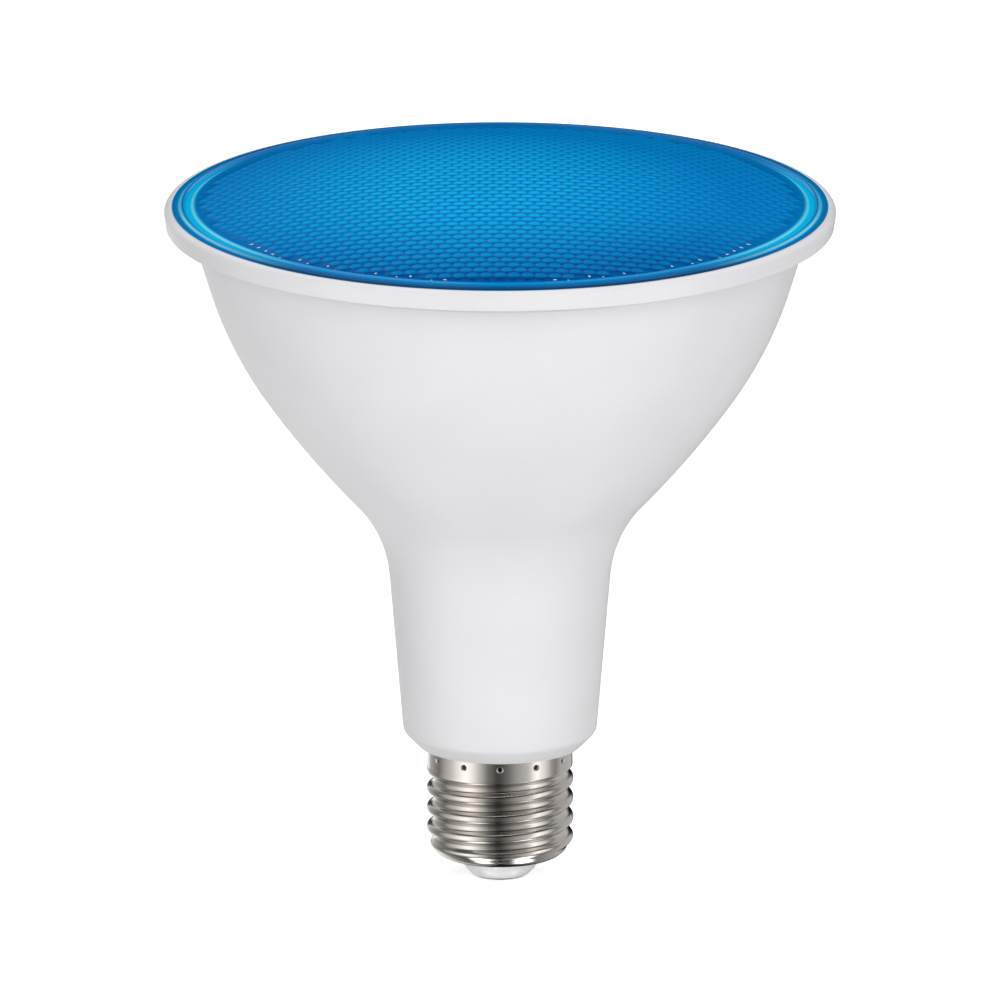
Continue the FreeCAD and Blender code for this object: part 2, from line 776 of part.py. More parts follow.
def capacitor(name, side):
    """An upright can on the driver board's front, with the groove that holds its seal."""
    radius = f"{name}_radius"
    foot = f"driver_bottom + {name}_rise"
    top = f"{foot} + {name}_length"
    return turned(name + "_capacitor", [
        ("0", foot),
        (f"{radius} - can_round", foot),
        (radius, f"{foot} + can_round"),
        (radius, f"{foot} + can_groove_rise"),
        (radius, f"{foot} + can_groove_rise + can_groove_width"),
        (radius, f"{top} - can_round"),
        (f"{radius} - can_round", top),
        ("0", top),
    ], {1: ("can_round", 1), 3: ("can_groove_curve", -1), 5: ("can_round", 1)},
        place=f"{side}{name}_place", depth=f"part_front - {radius}")


def film_capacitor():
    """The dipped film capacitor, a block with rounded edges."""
    box = block("film_block", "Part::Box", "film_place - film_width / 2", "part_front - film_depth",
                "driver_bottom + film_rise", Length="film_width", Width="film_depth", Height="film_length")
    doc.recompute()
    rounded = doc.addObject("Part::Fillet", "film_capacitor")
    rounded.Base = box
    rounded.Edges = [(n, value("film_round"), value("film_round")) for n in range(1, 13)]
    return named(rounded, "film_capacitor")


def inductor_core():
    """The ferrite drum: a neck between two flanges, upright on the driver board's front."""
    foot = "driver_bottom + drum_rise"
    top = f"{foot} + drum_length"
    return turned("inductor_core", [
        ("0", foot),
        ("drum_radius", foot),
        ("drum_radius", f"{foot} + drum_flange"),
        ("drum_neck", f"{foot} + drum_flange"),
        ("drum_neck", f"{top} - drum_flange"),
        ("drum_radius", f"{top} - drum_flange"),
        ("drum_radius", top),
        ("0", top),
    ], place="drum_place", depth="part_front - drum_radius")


def inductor_winding():
    """The copper winding round the drum's neck."""
    foot = "driver_bottom + drum_rise + drum_flange + winding_play"
    top = "driver_bottom + drum_rise + drum_length - drum_flange - winding_play"
    return turned("inductor_winding", [
        ("drum_neck + winding_play", foot),
        ("drum_radius - winding_inset", foot),
        ("drum_radius - winding_inset", top),
        ("drum_neck + winding_play", top),
    ], place="drum_place", depth="part_front - drum_radius")


def flat_package(name, width, length, height, rise, rows):
    """A moulded package on the driver board's back, with bent legs along both sides."""
    body = new_body(name)
    foot = f"driver_bottom + {rise}"
    shape = sketch_on(body, name + "_shape", "XZ_Plane", "-part_back")
    rectangle(shape, f"-{width} / 2", f"{width} / 2", foot, f"{foot} + {length}")
    pad(body, shape, height, down=True)
    legs = sketch_on(body, name + "_legs", "XZ_Plane", "-part_back")
    for side in ("-", ""):
        for row in range(rows):
            low = f"{foot} + {length} / 2 + leg_pitch * {row - (rows - 1) / 2} - leg_width / 2"
            ends = [f"{side}({width} / 2 + leg_reach)", f"{side}({width} / 2 - leg_thickness)"]
            left, right = ends if side else ends[::-1]
            rectangle(legs, left, right, low, f"{low} + leg_width")
    pad(body, legs, "leg_thickness", down=True)
    return body


def fusible_resistor():
    """The live side's fusible resistor: body and straight leads on the lamp's axis, from the rivet up
    to the driver board's face."""
    low = "fuse_rise"
    high = "fuse_rise + fuse_length"
    return turned("fusible_resistor", [
        ("0", "rivet_floor + lead_play"),
        ("fuse_lead_radius", "rivet_floor + lead_play"),
        ("fuse_lead_radius", low),
        ("fuse_radius - fuse_round", low),
        ("fuse_radius", f"{low} + fuse_round"),
        ("fuse_radius", f"{high} - fuse_round"),
        ("fuse_radius - fuse_round", high),
        ("fuse_lead_radius", high),
        ("fuse_lead_radius", "driver_bottom + fuse_overlap"),
        ("0", "driver_bottom + fuse_overlap"),
    ], {3: ("fuse_round", 1), 5: ("fuse_round", 1)})


def elbow_lead(name, side, place, depth, free_end, level, reach):
    """An insulated lead: upright from its free end, then one bend to the level of its other end."""
    body = new_body(name)
    upward = value(level) > value(free_end)
    turn, out = ("-", "+") if upward else ("+", "-")
    path = sketch_on(body, name + "_path", "XZ_Plane", f"-({depth})")
    centre_side = -1 if upward else 1
    if side:
        centre_side = -centre_side
    outline(path, [
        (f"{side}{place}", free_end),
        (f"{side}{place}", f"{level} {turn} lead_bend"),
        (f"{side}({place} + lead_bend)", level),
        (f"{side}({reach})", level),
    ], {1: ("lead_bend", centre_side)}, closed=False)
    round_wire = sketch_on(body, name + "_round", "XY_Plane", free_end)
    circle(round_wire, f"{side}{place}", depth, "lead_radius")
    doc.recompute()
    pipe = body.newObject("PartDesign::AdditivePipe", name + "_pipe")
    pipe.Profile = round_wire
    pipe.Spine = (path, ["Edge1", "Edge2", "Edge3"])
    return body


def leads():
    """Neutral lead to the shell, and the two output leads up through the LED board."""
    depth = "lead_back"
    touch = "shell_inner_root - neutral_lead_gap"
    neutral_reach = f"sqrt(({touch}) ^ 2 - ({depth} + lead_radius) ^ 2)"
    over_board = "board_top + lead_play + lead_radius"
    start = "driver_top - lead_overlap"
    far = "wire_hole_radius + lead_end"
    return [
        elbow_lead("neutral_lead", "-", "neutral_lead_place", depth, "driver_bottom + lead_overlap",
                   "spigot_end - neutral_lead_drop", neutral_reach),
        elbow_lead("positive_lead", "", "output_lead_place", "lead_front", start, over_board, far),
        elbow_lead("negative_lead", "-", "output_lead_place", "lead_front", start, over_board, far),
    ]


def build():
    """Every sub-part of the lamp, in the order of its assembly."""
    return [
        centre_contact(),
        base_insulator(),
        screw_shell(),
        housing(),
        front_ring(),
        lens_gasket(),
        lens(),
        heat_sink(),
        led_board(),
        led_packages(),
        board_screws(),
        driver_board(),
        capacitor("bulk", "-"),
        capacitor("output", "-"),
        film_capacitor(),
        inductor_core(),
        inductor_winding(),
        flat_package("bridge_rectifier", "bridge_width", "bridge_length", "bridge_height", "bridge_rise", 2),
        flat_package("controller_chip", "chip_width", "chip_length", "chip_height", "chip_rise", 4),
        fusible_resistor(),
        *leads(),
    ]


def check(parts):
    """Stops with the names of failed objects, before anything is written."""
    failed = [o.Name for o in doc.Objects if "Invalid" in o.State or "Error" in o.State]
    failed += [p.Label for p in parts if p.Shape.isNull() or not p.Shape.isValid()]
    if failed:
        raise RuntimeError("failed: " + ", ".join(failed))


parts = build()
doc.recompute()
check(parts)
os.makedirs("parts", exist_ok=True)
for part in parts:
    part.Shape.exportStep(f"parts/{part.Label}.step")
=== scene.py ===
"""The look of a par spotlight bulb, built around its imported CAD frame.

Sizes are in millimetres and angles in degrees. Meshes are written in metres, at their place in the frame.
"""

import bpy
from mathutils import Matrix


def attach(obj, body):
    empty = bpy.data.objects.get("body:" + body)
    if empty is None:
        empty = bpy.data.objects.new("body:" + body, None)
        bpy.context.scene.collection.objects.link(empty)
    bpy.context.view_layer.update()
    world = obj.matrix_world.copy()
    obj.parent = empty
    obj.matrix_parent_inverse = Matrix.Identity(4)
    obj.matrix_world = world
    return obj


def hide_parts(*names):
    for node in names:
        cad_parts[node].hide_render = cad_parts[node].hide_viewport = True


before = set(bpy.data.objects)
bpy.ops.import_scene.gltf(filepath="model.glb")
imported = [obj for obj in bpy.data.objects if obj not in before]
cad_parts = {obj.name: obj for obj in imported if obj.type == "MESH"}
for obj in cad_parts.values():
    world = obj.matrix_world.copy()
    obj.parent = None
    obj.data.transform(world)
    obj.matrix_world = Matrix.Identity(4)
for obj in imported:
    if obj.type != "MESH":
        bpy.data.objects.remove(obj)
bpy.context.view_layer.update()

import logging
import math
from dataclasses import dataclass, field
from enum import Enum

import bmesh
import bpy
import numpy as np
from mathutils.geometry import delaunay_2d_cdt

LOG = logging.getLogger("spotlight_bulb")
MM = 0.001
BODY = "root"
# Points closer than this many metres are one point, and faces thinner than the next are left out
WELD = 1e-6
SLIVER = 1e-7
# How far the roughness of a surface drifts to either side of its mean, as a share of the mean
GLOSS_DRIFT = 0.15
# Share of the way across a turned surface that its patterns follow
RING_DRIFT = 0.02
Tree = bpy.types.NodeTree
Socket = bpy.types.NodeSocket


# Shapes: arrays of points in millimetres

def tangent_arc(start: np.ndarray, radius: float, begin: float, end: float, steps: int) -> np.ndarray:
    """Points along a circle arc that starts at a point with one slope and ends with another.

    The slope is the wall's angle from upright. The point moves out by radius times the change of the
    slope's cosine, and up by radius times the change of its sine, with the sign of the bend.

    Args:
        start: the arc's first point, as radius and height.
        radius: the arc's own radius.
        begin: slope at the start.
        end: slope at the end.
        steps: number of points.

    Returns:
        One row of radius, height and slope for each point.
    """
    slope = np.linspace(begin, end, steps)
    first, turn = math.radians(begin), np.radians(slope)
    side = math.copysign(1.0, end - begin)
    out = start[0] + side * radius * (math.cos(first) - np.cos(turn))
    up = start[1] + side * radius * (np.sin(turn) - math.sin(first))
    return np.column_stack((out, up, slope))


def circle_arc(
        centre: tuple[float, float], radius: float, begin: float, end: float, steps: int) -> np.ndarray:
    """Points of a circle arc: centre plus radius times the cosine and sine of evenly spaced angles.

    Args:
        centre: radius and height of the arc's centre.
        radius: the arc's own radius.
        begin: first angle, counted from outwards towards upwards.
        end: last angle.
        steps: number of points.

    Returns:
        One row of radius and height for each point.
    """
    turn = np.radians(np.linspace(begin, end, steps))
    return np.column_stack((centre[0] + radius * np.cos(turn), centre[1] + radius * np.sin(turn)))


def eased(corners: np.ndarray, rounds: np.ndarray, steps: int = 5) -> np.ndarray:
    """A closed outline with each of its corners rounded off.

    A corner with a round gives way to a parabola from a point on the edge before it to one on the edge
    after it, both set back by the round: (1 - t)^2 A + 2 t (1 - t) C + t^2 B. A corner without one stays.

    Args:
        corners: radius and height of each corner, in order.
        rounds: set-back at each corner, zero for a sharp one.
        steps: number of points on each round.

    Returns:
        The outline's points in the same order.
    """
    before, after = np.roll(corners, 1, 0) - corners, np.roll(corners, -1, 0) - corners
    reach = rounds[:, None]
    enter = corners + before * reach / np.linalg.norm(before, axis=1)[:, None]
    leave = corners + after * reach / np.linalg.norm(after, axis=1)[:, None]
    t = np.linspace(0.0, 1.0, steps)[None, :, None]
    curve = (1 - t) ** 2 * enter[:, None] + 2 * t * (1 - t) * corners[:, None] + t ** 2 * leave[:, None]
    keep = np.ones((len(corners), steps), bool)
    keep[rounds == 0, 1:] = False
    return curve[keep]


def revolve(outline: np.ndarray, turns: np.ndarray) -> tuple[np.ndarray, np.ndarray]:
    """The skin of a turned piece: outline point (r, z) at turn a lies at (r cos a, r sin a, z).

    Args:
        outline: closed outline with the material on its left, as rows of radius and height.
        turns: angles of the sections in radians, once round.

    Returns:
        The vertices, outline by outline, and the four corners of each face.
    """
    radius, height = outline[:, 0:1], outline[:, 1:2]
    points = np.stack((radius * np.cos(turns), radius * np.sin(turns), height + 0 * turns), axis=-1)
    return points.reshape(-1, 3), wrapped_quads(len(outline), len(turns), closed=True)


def wrapped_quads(rows: int, columns: int, closed: bool) -> np.ndarray:
    """Faces of a grid whose columns meet again after the last one, and whose rows do so if it is closed.

    Args:
        rows: number of rows.
        columns: number of columns in each row.
        closed: whether the last row joins the first.

    Returns:
        Four corners a face, turned so that the face looks to the right of the direction of the rows.
    """
    row, column = np.meshgrid(np.arange(rows if closed else rows - 1), np.arange(columns), indexing="ij")
    above, beside = (row + 1) % rows, (column + 1) % columns
    here, there = row * columns, above * columns
    corners = (here + column, here + beside, there + beside, there + column)
    return np.stack(corners, axis=-1).reshape(-1, 4)


def even_turns(count: int) -> np.ndarray:
    """Angles of evenly spaced sections, in radians."""
    return np.linspace(0.0, 2 * math.pi, count, endpoint=False)


def smoothstep(value: np.ndarray, low: float, high: float) -> np.ndarray:
    """Zero below low, one above high, and 3 t^2 - 2 t^3 between them."""
    t = np.clip((value - low) / (high - low), 0.0, 1.0)
    return t * t * (3 - 2 * t)


def make_mesh(
        name: str, points: np.ndarray, faces: list, sharp: float,
        layers: dict[str, np.ndarray] | None = None) -> bpy.types.Object:
    """Puts points and faces into a new object at the origin, with doubled points merged.

    Args:
        name: the object's name.
        points: vertices in millimetres.
        faces: corners of each face.
        sharp: edges that bend by more than this angle stay crisp.
        layers: values of each point, by the name of the attribute that holds them.

    Returns:
        The object, linked to the scene.
    """
    mesh = bpy.data.meshes.new(name)
    mesh.from_pydata((points * MM).tolist(), [], faces)
    for label, values in (layers or {}).items():
        mesh.attributes.new(label, "FLOAT", "POINT").data.foreach_set("value", values.astype(np.float32))
    skin = bmesh.new()
    skin.from_mesh(mesh)
    bmesh.ops.remove_doubles(skin, verts=skin.verts, dist=WELD)
    bmesh.ops.dissolve_degenerate(skin, edges=skin.edges, dist=SLIVER)
    skin.to_mesh(mesh)
    skin.free()
    mesh.shade_smooth()
    mesh.set_sharp_from_angle(angle=math.radians(sharp))
    piece = bpy.data.objects.new(name, mesh)
    bpy.context.scene.collection.objects.link(piece)
    return piece


def turned_piece(name: str, outline: np.ndarray, sections: int, sharp: float) -> bpy.types.Object:
    """A new object with the skin of a turned piece.

    Args:
        name: the object's name.
        outline: closed outline with the material on its left, as rows of radius and height.
        sections: number of sections once round.
        sharp: edges that bend by more than this angle stay crisp.

    Returns:
        The object, linked to the scene.
    """
    points, faces = revolve(outline, even_turns(sections))
    return make_mesh(name, points, faces.tolist(), sharp)


# Finishes: each material starts from what the real one is and how its surface was made

def linear(colour: str) -> tuple[float, float, float, float]:
    """An sRGB hex colour as the linear values that the shaders take.

    Args:
        colour: six hex digits after a hash sign.

    Returns:
        Red, green, blue and alpha.
    """
    channels = [int(colour[place:place + 2], 16) / 255 for place in (1, 3, 5)]
    return (*(c / 12.92 if c <= 0.04045 else ((c + 0.055) / 1.055) ** 2.4 for c in channels), 1.0)


def add_node(tree: Tree, kind: str, inputs: dict | None = None, **settings: object) -> bpy.types.Node:
    """Adds one node to a material or world.

    Args:
        tree: the node tree.
        kind: the node's type, without the word ShaderNode.
        inputs: value or linked socket for each input, by name or place.
        settings: the node's own properties.

    Returns:
        The node.
    """
    node = tree.nodes.new("ShaderNode" + kind)
    for key, value in settings.items():
        setattr(node, key, value)
    for key, value in (inputs or {}).items():
        if isinstance(value, Socket):
            tree.links.new(value, node.inputs[key])
        else:
            node.inputs[key].default_value = value
    return node


def attribute(tree: Tree, name: str) -> Socket:
    """The value that the mesh's points carry under a name."""
    return add_node(tree, "Attribute", attribute_name=name).outputs["Fac"]


def along(tree: Tree, axis: str, place: Socket) -> Socket:
    """A point's X, Y or Z."""
    return add_node(tree, "SeparateXYZ", {"Vector": place}).outputs[axis]


def axis_distance(tree: Tree, place: Socket) -> Socket:
    """Distance of a point from the bulb's axis: the length of its vector once its height is left out."""
    flat = add_node(tree, "CombineXYZ", {"X": along(tree, "X", place), "Y": along(tree, "Y", place)})
    return add_node(tree, "VectorMath", {0: flat.outputs["Vector"]}, operation="LENGTH").outputs["Value"]


def share_between(tree: Tree, value: Socket, low: float, high: float, climb: str = "LINEAR") -> Socket:
    """Zero up to low and one from high on; between them LINEAR, or SMOOTHSTEP for soft ends."""
    bounds = {"Value": value, "From Min": low, "From Max": high}
    return add_node(tree, "MapRange", bounds, interpolation_type=climb).outputs["Result"]


def mixed(tree: Tree, second_share: Socket, first: Socket, second: Socket | tuple) -> Socket:
    """The first colour, which gives way to the second by its share."""
    return add_node(tree, "MixRGB", {"Fac": second_share, "Color1": first, "Color2": second}).outputs["Color"]


def colour_ramp(tree: Tree, value: Socket, *stops: tuple[float, str]) -> Socket:
    """Colours that melt into each other along a value from zero to one.

    Args:
        tree: the material's node tree.
        value: the value.
        stops: value and sRGB colour of each stop, in order.

    Returns:
        The colour.
    """
    ramp = add_node(tree, "ValToRGB", {"Fac": value})
    elements = ramp.color_ramp.elements
    while len(elements) < len(stops):
        elements.new(1.0)
    for element, (spot, colour) in zip(elements, stops):
        element.position, element.color = spot, linear(colour)
    return ramp.outputs["Color"]


class Process(Enum):
    """How a surface was made, which sets the direction of its finest marks."""

    MOULDED = "moulded"
    TURNED = "turned"


@dataclass(frozen=True)
class Finish:
    """One material: its name, its two close tones, its gloss and its finest marks.

    Attributes:
        name: the material's common name and process.
        colour: sRGB colour of most of the surface.
        tone: sRGB colour that it drifts to.
        roughness: mean roughness.
        metallic: one for bare metal.
        ior: index of refraction, left at the default for metals.
        coat: weight of a clear coat.
        specular: strength of the mirror image on a surface that isn't metal.
        grain: size of the finest marks in mm.
        relief: depth of the finest marks in mm.
        blotch: size of the drift between the two tones in mm.
        process: how the surface was made.
    """

    name: str
    colour: str
    tone: str
    roughness: float
    metallic: float = 0.0
    ior: float = 1.5
    coat: float = 0.0
    specular: float = 0.5
    grain: float = 0.5
    relief: float = 0.004
    blotch: float = 14.0
    process: Process = Process.MOULDED

    def material(self) -> bpy.types.Material:
        """The material, made once and shared by all that wear the finish.

        Returns:
            The material.
        """
        known = bpy.data.materials.get(self.name)
        if known:
            return known
        made = bpy.data.materials.new(self.name)
        made.use_nodes = True
        tree = made.node_tree
        shader = tree.nodes["Principled BSDF"]
        shader.inputs["Metallic"].default_value = self.metallic
        shader.inputs["IOR"].default_value = self.ior
        shader.inputs["Coat Weight"].default_value = self.coat
        shader.inputs["Specular IOR Level"].default_value = self.specular
        self.dress(tree, shader)
        made.diffuse_color = linear(self.colour)
        return made

    def dress(self, tree: Tree, shader: bpy.types.Node) -> None:
        """Links colour, roughness and relief to the shader.

        Args:
            tree: the material's node tree.
            shader: its Principled shader.
        """
        place = self.place(tree)
        tree.links.new(self.tint(tree, place), shader.inputs["Base Color"])
        marks = self.marks(tree, place)
        rough = add_node(tree, "MapRange", {
            "Value": marks,
            "To Min": self.roughness * (1 - GLOSS_DRIFT),
            "To Max": self.roughness * (1 + GLOSS_DRIFT)})
        tree.links.new(rough.outputs["Result"], shader.inputs["Roughness"])
        relief = add_node(tree, "Bump", {"Height": marks, "Strength": 1.0, "Distance": self.relief * MM})
        tree.links.new(relief.outputs["Normal"], shader.inputs["Normal"])

    def place(self, tree: Tree) -> Socket:
        """Where a point of the surface lies: in the frame, or round the axis for a turned surface.

        On a turned surface the patterns follow the distance from the axis, and only a small share of the
        way across, so that they run on as rings.

        Args:
            tree: the material's node tree.

        Returns:
            The vector that the patterns read, in metres.
        """
        point = add_node(tree, "TexCoord").outputs["Object"]
        if self.process is Process.MOULDED:
            return point
        small = add_node(tree, "VectorMath", {0: point, "Scale": RING_DRIFT}, operation="SCALE")
        drawn = small.outputs["Vector"]
        ways = {0: axis_distance(tree, point), 1: along(tree, "X", drawn)}
        out = add_node(tree, "Math", ways, operation="ADD")
        return add_node(tree, "CombineXYZ", {
            "X": out.outputs["Value"],
            "Y": along(tree, "Y", drawn),
            "Z": along(tree, "Z", point)}).outputs["Vector"]

    def tint(self, tree: Tree, place: Socket) -> Socket:
        """The slow drift between the finish's two tones."""
        drift = add_node(tree, "TexNoise", {"Vector": place, "Scale": 1 / (self.blotch * MM), "Detail": 2.0})
        return colour_ramp(tree, drift.outputs["Fac"], (0.3, self.colour), (0.7, self.tone))

    def marks(self, tree: Tree, place: Socket) -> Socket:
        """The finest marks: the mould's texture, or the rings that turning leaves."""
        fine = {"Vector": place, "Scale": 1 / (self.grain * MM), "Detail": 3.0}
        return add_node(tree, "TexNoise", fine).outputs["Fac"]


@dataclass(frozen=True)
class OverhangShadeFinish(Finish):
    """A moulding with painted shade where another piece overhangs it.

    Attributes:
        shade: sRGB colour of the painted shade.
        shade_band: heights in mm where the painted shade starts and is full.
    """

    shade: str = "#8C8C90"
    shade_band: tuple[float, float] = (118.6, 119.9)

    def tint(self, tree: Tree, place: Socket) -> Socket:
        """The moulding's drift, mixed with the painted shade by the height."""
        near = share_between(tree, along(tree, "Z", place), self.shade_band[0] * MM, self.shade_band[1] * MM, "SMOOTHSTEP")
        return mixed(tree, near, super().tint(tree, place), linear(self.shade))


@dataclass(frozen=True)
class DentShadeFinish(Finish):
    """A plated metal with painted shade on the floor of each dent that a punch made.

    Attributes:
        dark: sRGB colour of the painted shade on the floor of a dent.
        floor: depths of the dent, from zero to one, between which the dark colour comes in.
    """

    dark: str = "#2A2826"
    floor: tuple[float, float] = (0.55, 0.95)

    def tint(self, tree: Tree, place: Socket) -> Socket:
        """The plating's drift, mixed with the painted shade by the depth of the dent."""
        deep = share_between(tree, attribute(tree, "dent"), *self.floor)
        return mixed(tree, deep, super().tint(tree, place), linear(self.dark))


@dataclass(frozen=True)
class PillowFinish(Finish):
    """Clear blue plastic over the light engine, with painted light and shade: pale crowns, deeper valleys,
    deeper edges.

    Attributes:
        valley: sRGB colour of the valleys in the middle, in painted shade.
        front_edge: sRGB colours of valleys and crowns at the front edge, in deeper painted shade.
        far_edge: sRGB colours of valleys and crowns at the sides and the back, in painted light and shade.
        front: places along the frame's y in mm between which the front edge gives way to the far one.
        middle: x and y in mm of the palest spot, where the painted light is strongest.
        reach: distances from the palest spot in mm where the painted light starts and stops to fade.
        glint: sRGB colour of the painted line of light on the edge of a border pillow.
        spark: strengths of the glint between which its colour comes in.
    """

    valley: str = "#006CB2"
    front_edge: tuple[str, str] = ("#004084", "#0074B8")
    far_edge: tuple[str, str] = ("#006CB2", "#0086CC")
    front: tuple[float, float] = (-50.0, -15.0)
    middle: tuple[float, float] = (-6.0, -6.0)
    reach: tuple[float, float] = (14.0, 48.0)
    glint: str = "#E8F8FF"
    spark: tuple[float, float] = (0.62, 0.9)

    def tint(self, tree: Tree, place: Socket) -> Socket:
        """Painted light and shade: three ramps over the pillow's shade level, mixed by where it lies, and
        glints on top.

        Args:
            tree: the material's node tree.
            place: where the point lies, in metres.

        Returns:
            The colour.
        """
        height = attribute(tree, "pillow")
        front, far, body = (
            colour_ramp(tree, height, (0.2, low), (0.8, high))
            for low, high in (self.front_edge, self.far_edge, (self.valley, self.colour)))
        # Painted shade, deeper at the front edge than at the sides and back
        depth = along(tree, "Y", place)
        back = share_between(tree, depth, self.front[0] * MM, self.front[1] * MM, "SMOOTHSTEP")
        edge = mixed(tree, back, front, far)
        # The palest spot: painted light from the light engine below, fading towards the edge
        spot = (self.middle[0] * MM, self.middle[1] * MM, 0.0)
        moved = add_node(tree, "VectorMath", {0: place, 1: spot}, operation="SUBTRACT").outputs["Vector"]
        deep = share_between(tree, axis_distance(tree, moved), self.reach[0] * MM, self.reach[1] * MM)
        lit = share_between(tree, attribute(tree, "glint"), *self.spark)
        return mixed(tree, lit, mixed(tree, deep, body, edge), linear(self.glint))


@dataclass(frozen=True)
class RimFinish(Finish):
    """The same clear blue plastic where it is smooth: rings of colour that follow its thickness, with painted
    light and shade.

    Attributes:
        rings: radius in mm from which each sRGB colour holds, from the middle outwards, with painted light and
            shade.
        side_rings: the same to the left and right, with painted highlights where the light that the rim guides
            leaves it.
        melt: width in mm of plain colour before the first ring and after the last.
        side: shares of the radius between which the side colours come in.
        far: sRGB colour at the back, where the rings aren't seen.
        back: shares of the radius, along the frame's y, between which the back colour comes in.
    """

    rings: tuple[tuple[float, str], ...] = (
        (54.6, "#0082C8"), (55.7, "#0092DC"), (56.45, "#008AD4"), (56.8, "#0088D0"), (57.05, "#0068A8"),
        (58.1, "#00487A"))
    side_rings: tuple[tuple[float, str], ...] = (
        (54.75, "#109AE0"), (55.25, "#70F0FF"), (55.6, "#0CC6FF"), (56.2, "#00CCFF"), (56.75, "#14A2E6"),
        (57.08, "#007CBC"), (57.5, "#74E0FF"), (57.88, "#008ED0"), (58.4, "#007EC6"))
    melt: float = 0.4
    side: tuple[float, float] = (0.6, 0.96)
    far: str = "#0074BA"
    back: tuple[float, float] = (0.2, 0.7)

    def ring_ramp(self, tree: Tree, radius: Socket, rings: tuple) -> Socket:
        """A colour ramp over the distance from the axis, whose colours melt into each other.

        Args:
            tree: the material's node tree.
            radius: distance from the axis in metres.
            rings: radius in mm and sRGB colour of each ring.

        Returns:
            The colour.
        """
        first, last = rings[0][0] - self.melt, rings[-1][0] + self.melt
        way = share_between(tree, radius, first * MM, last * MM)
        return colour_ramp(tree, way, *(((spot - first) / (last - first), colour) for spot, colour in rings))

    def tint(self, tree: Tree, place: Socket) -> Socket:
        """The painted front rings, mixed with the painted side rings and the back colour by which way the point
        lies.

        Args:
            tree: the material's node tree.
            place: where the point lies, in metres.

        Returns:
            The colour.
        """
        radius = axis_distance(tree, place)
        aside = add_node(tree, "Math", {0: along(tree, "X", place)}, operation="ABSOLUTE").outputs["Value"]
        shares = []
        for size, bounds in ((aside, self.side), (along(tree, "Y", place), self.back)):
            part = add_node(tree, "Math", {0: size, 1: radius}, operation="DIVIDE").outputs["Value"]
            shares.append(share_between(tree, part, *bounds, "SMOOTHSTEP"))
        sideways, backwards = shares
        front, beside = (self.ring_ramp(tree, radius, rings) for rings in (self.rings, self.side_rings))
        return mixed(tree, backwards, mixed(tree, sideways, front, beside), linear(self.far))


# Moulded polycarbonate with a satin mould texture: soft, even white with no visible grain, and painted shade
# just under the front ring
HOUSING_WHITE = OverhangShadeFinish(
    "satin_white_polycarbonate", "#E9E9EB", "#E6E6E8", 0.42, ior=1.58, specular=0.15, grain=0.4, relief=0.002)
# The same plastic from a polished mould: a little glossier, with a clean line of light on its edge
RING_WHITE = Finish(
    "polished_white_polycarbonate", "#E8E8EA", "#E5E5E7", 0.3, ior=1.58, specular=0.3, grain=0.8, relief=0.001)
# Clear blue polycarbonate, pillowed: the light comes back through the plastic, so the colour stays saturated;
# its light and shade on the pillows are painted
PILLOW_BLUE = PillowFinish(
    "clear_blue_pillowed_polycarbonate", "#0EB2EE", "#0EB2EE", 0.16, ior=1.58, specular=0.03, grain=1.2,
    relief=0.001)
# Clear blue polycarbonate, polished: glossy, with painted lines of light on its bead and steps
RIM_BLUE = RimFinish(
    "clear_blue_polished_polycarbonate", "#0082C0", "#0082C0", 0.1, ior=1.58, specular=0.35, grain=1.2,
    relief=0.0005)
# Steel, rolled and nickel-plated: warm grey mirror with faint drawing marks round the axis, painted shade in
# the crimps
NICKEL = DentShadeFinish(
    "rolled_nickel_plated_steel", "#CFCAC4", "#C4BFB8", 0.085, metallic=1.0, grain=0.25, relief=0.001,
    blotch=6.0, process=Process.TURNED)
# Glazed ceramic: cool white, glossy
CERAMIC = Finish("glazed_white_ceramic", "#FFFFFF", "#FBFBFD", 0.2, grain=0.7, relief=0.002)
# Tinned brass: dull grey metal with soft stains from the solder
TINNED = Finish(
    "tinned_brass", "#8C8C8E", "#747476", 0.32, metallic=1.0, grain=0.3, blotch=2.0, process=Process.TURNED)
# Silicone rubber, moulded: matt and pale
SILICONE = Finish("moulded_silicone_rubber", "#D6D6D4", "#CBCBC8", 0.7, ior=1.41, grain=0.4, relief=0.006)
# Aluminium sheet, spun into a dish: rings of fine turning marks
SPUN_ALUMINIUM = Finish(
    "spun_aluminium", "#D3D5D8", "#C3C5C8", 0.34, metallic=1.0, grain=0.3, process=Process.TURNED)
# White solder mask over an aluminium board: flat white, faint orange peel
WHITE_MASK = Finish("white_solder_mask", "#EFEFEA", "#E4E4DE", 0.42)
# Silicone gel with phosphor: deep yellow, slightly cloudy
PHOSPHOR = Finish(
    "cast_phosphor_gel", "#F0CE4A", "#E6B93A", 0.3, ior=1.41, coat=0.3, grain=0.3, relief=0.002, blotch=1.0)
# Zinc-plated steel screws: bluish grey, fine tumbling marks
ZINC = Finish("zinc_plated_steel", "#B6B9BE", "#A3A6AC", 0.28, metallic=1.0, grain=0.2, blotch=1.5)
# Green solder mask over glass cloth: the weave shows as a faint relief
GREEN_MASK = Finish("green_solder_mask", "#1C6B3A", "#175A31", 0.35, coat=0.3, grain=0.7, relief=0.008)
# Heat-shrunk sleeve on the capacitors: dark and glossy
SLEEVE = Finish("heat_shrunk_pvc_sleeve", "#15161C", "#1C1E26", 0.3, grain=0.6)
# Epoxy dip coat on the film capacitor: glossy red with a slight orange peel
EPOXY_DIP = Finish("dipped_epoxy_coat", "#9C2A1C", "#8B2317", 0.28, coat=0.4, grain=0.9, relief=0.01)
# Sintered ferrite: dark grey, chalky
FERRITE = Finish("sintered_ferrite", "#2E2D2C", "#3A3938", 0.62, grain=0.25, relief=0.012, blotch=2.0)
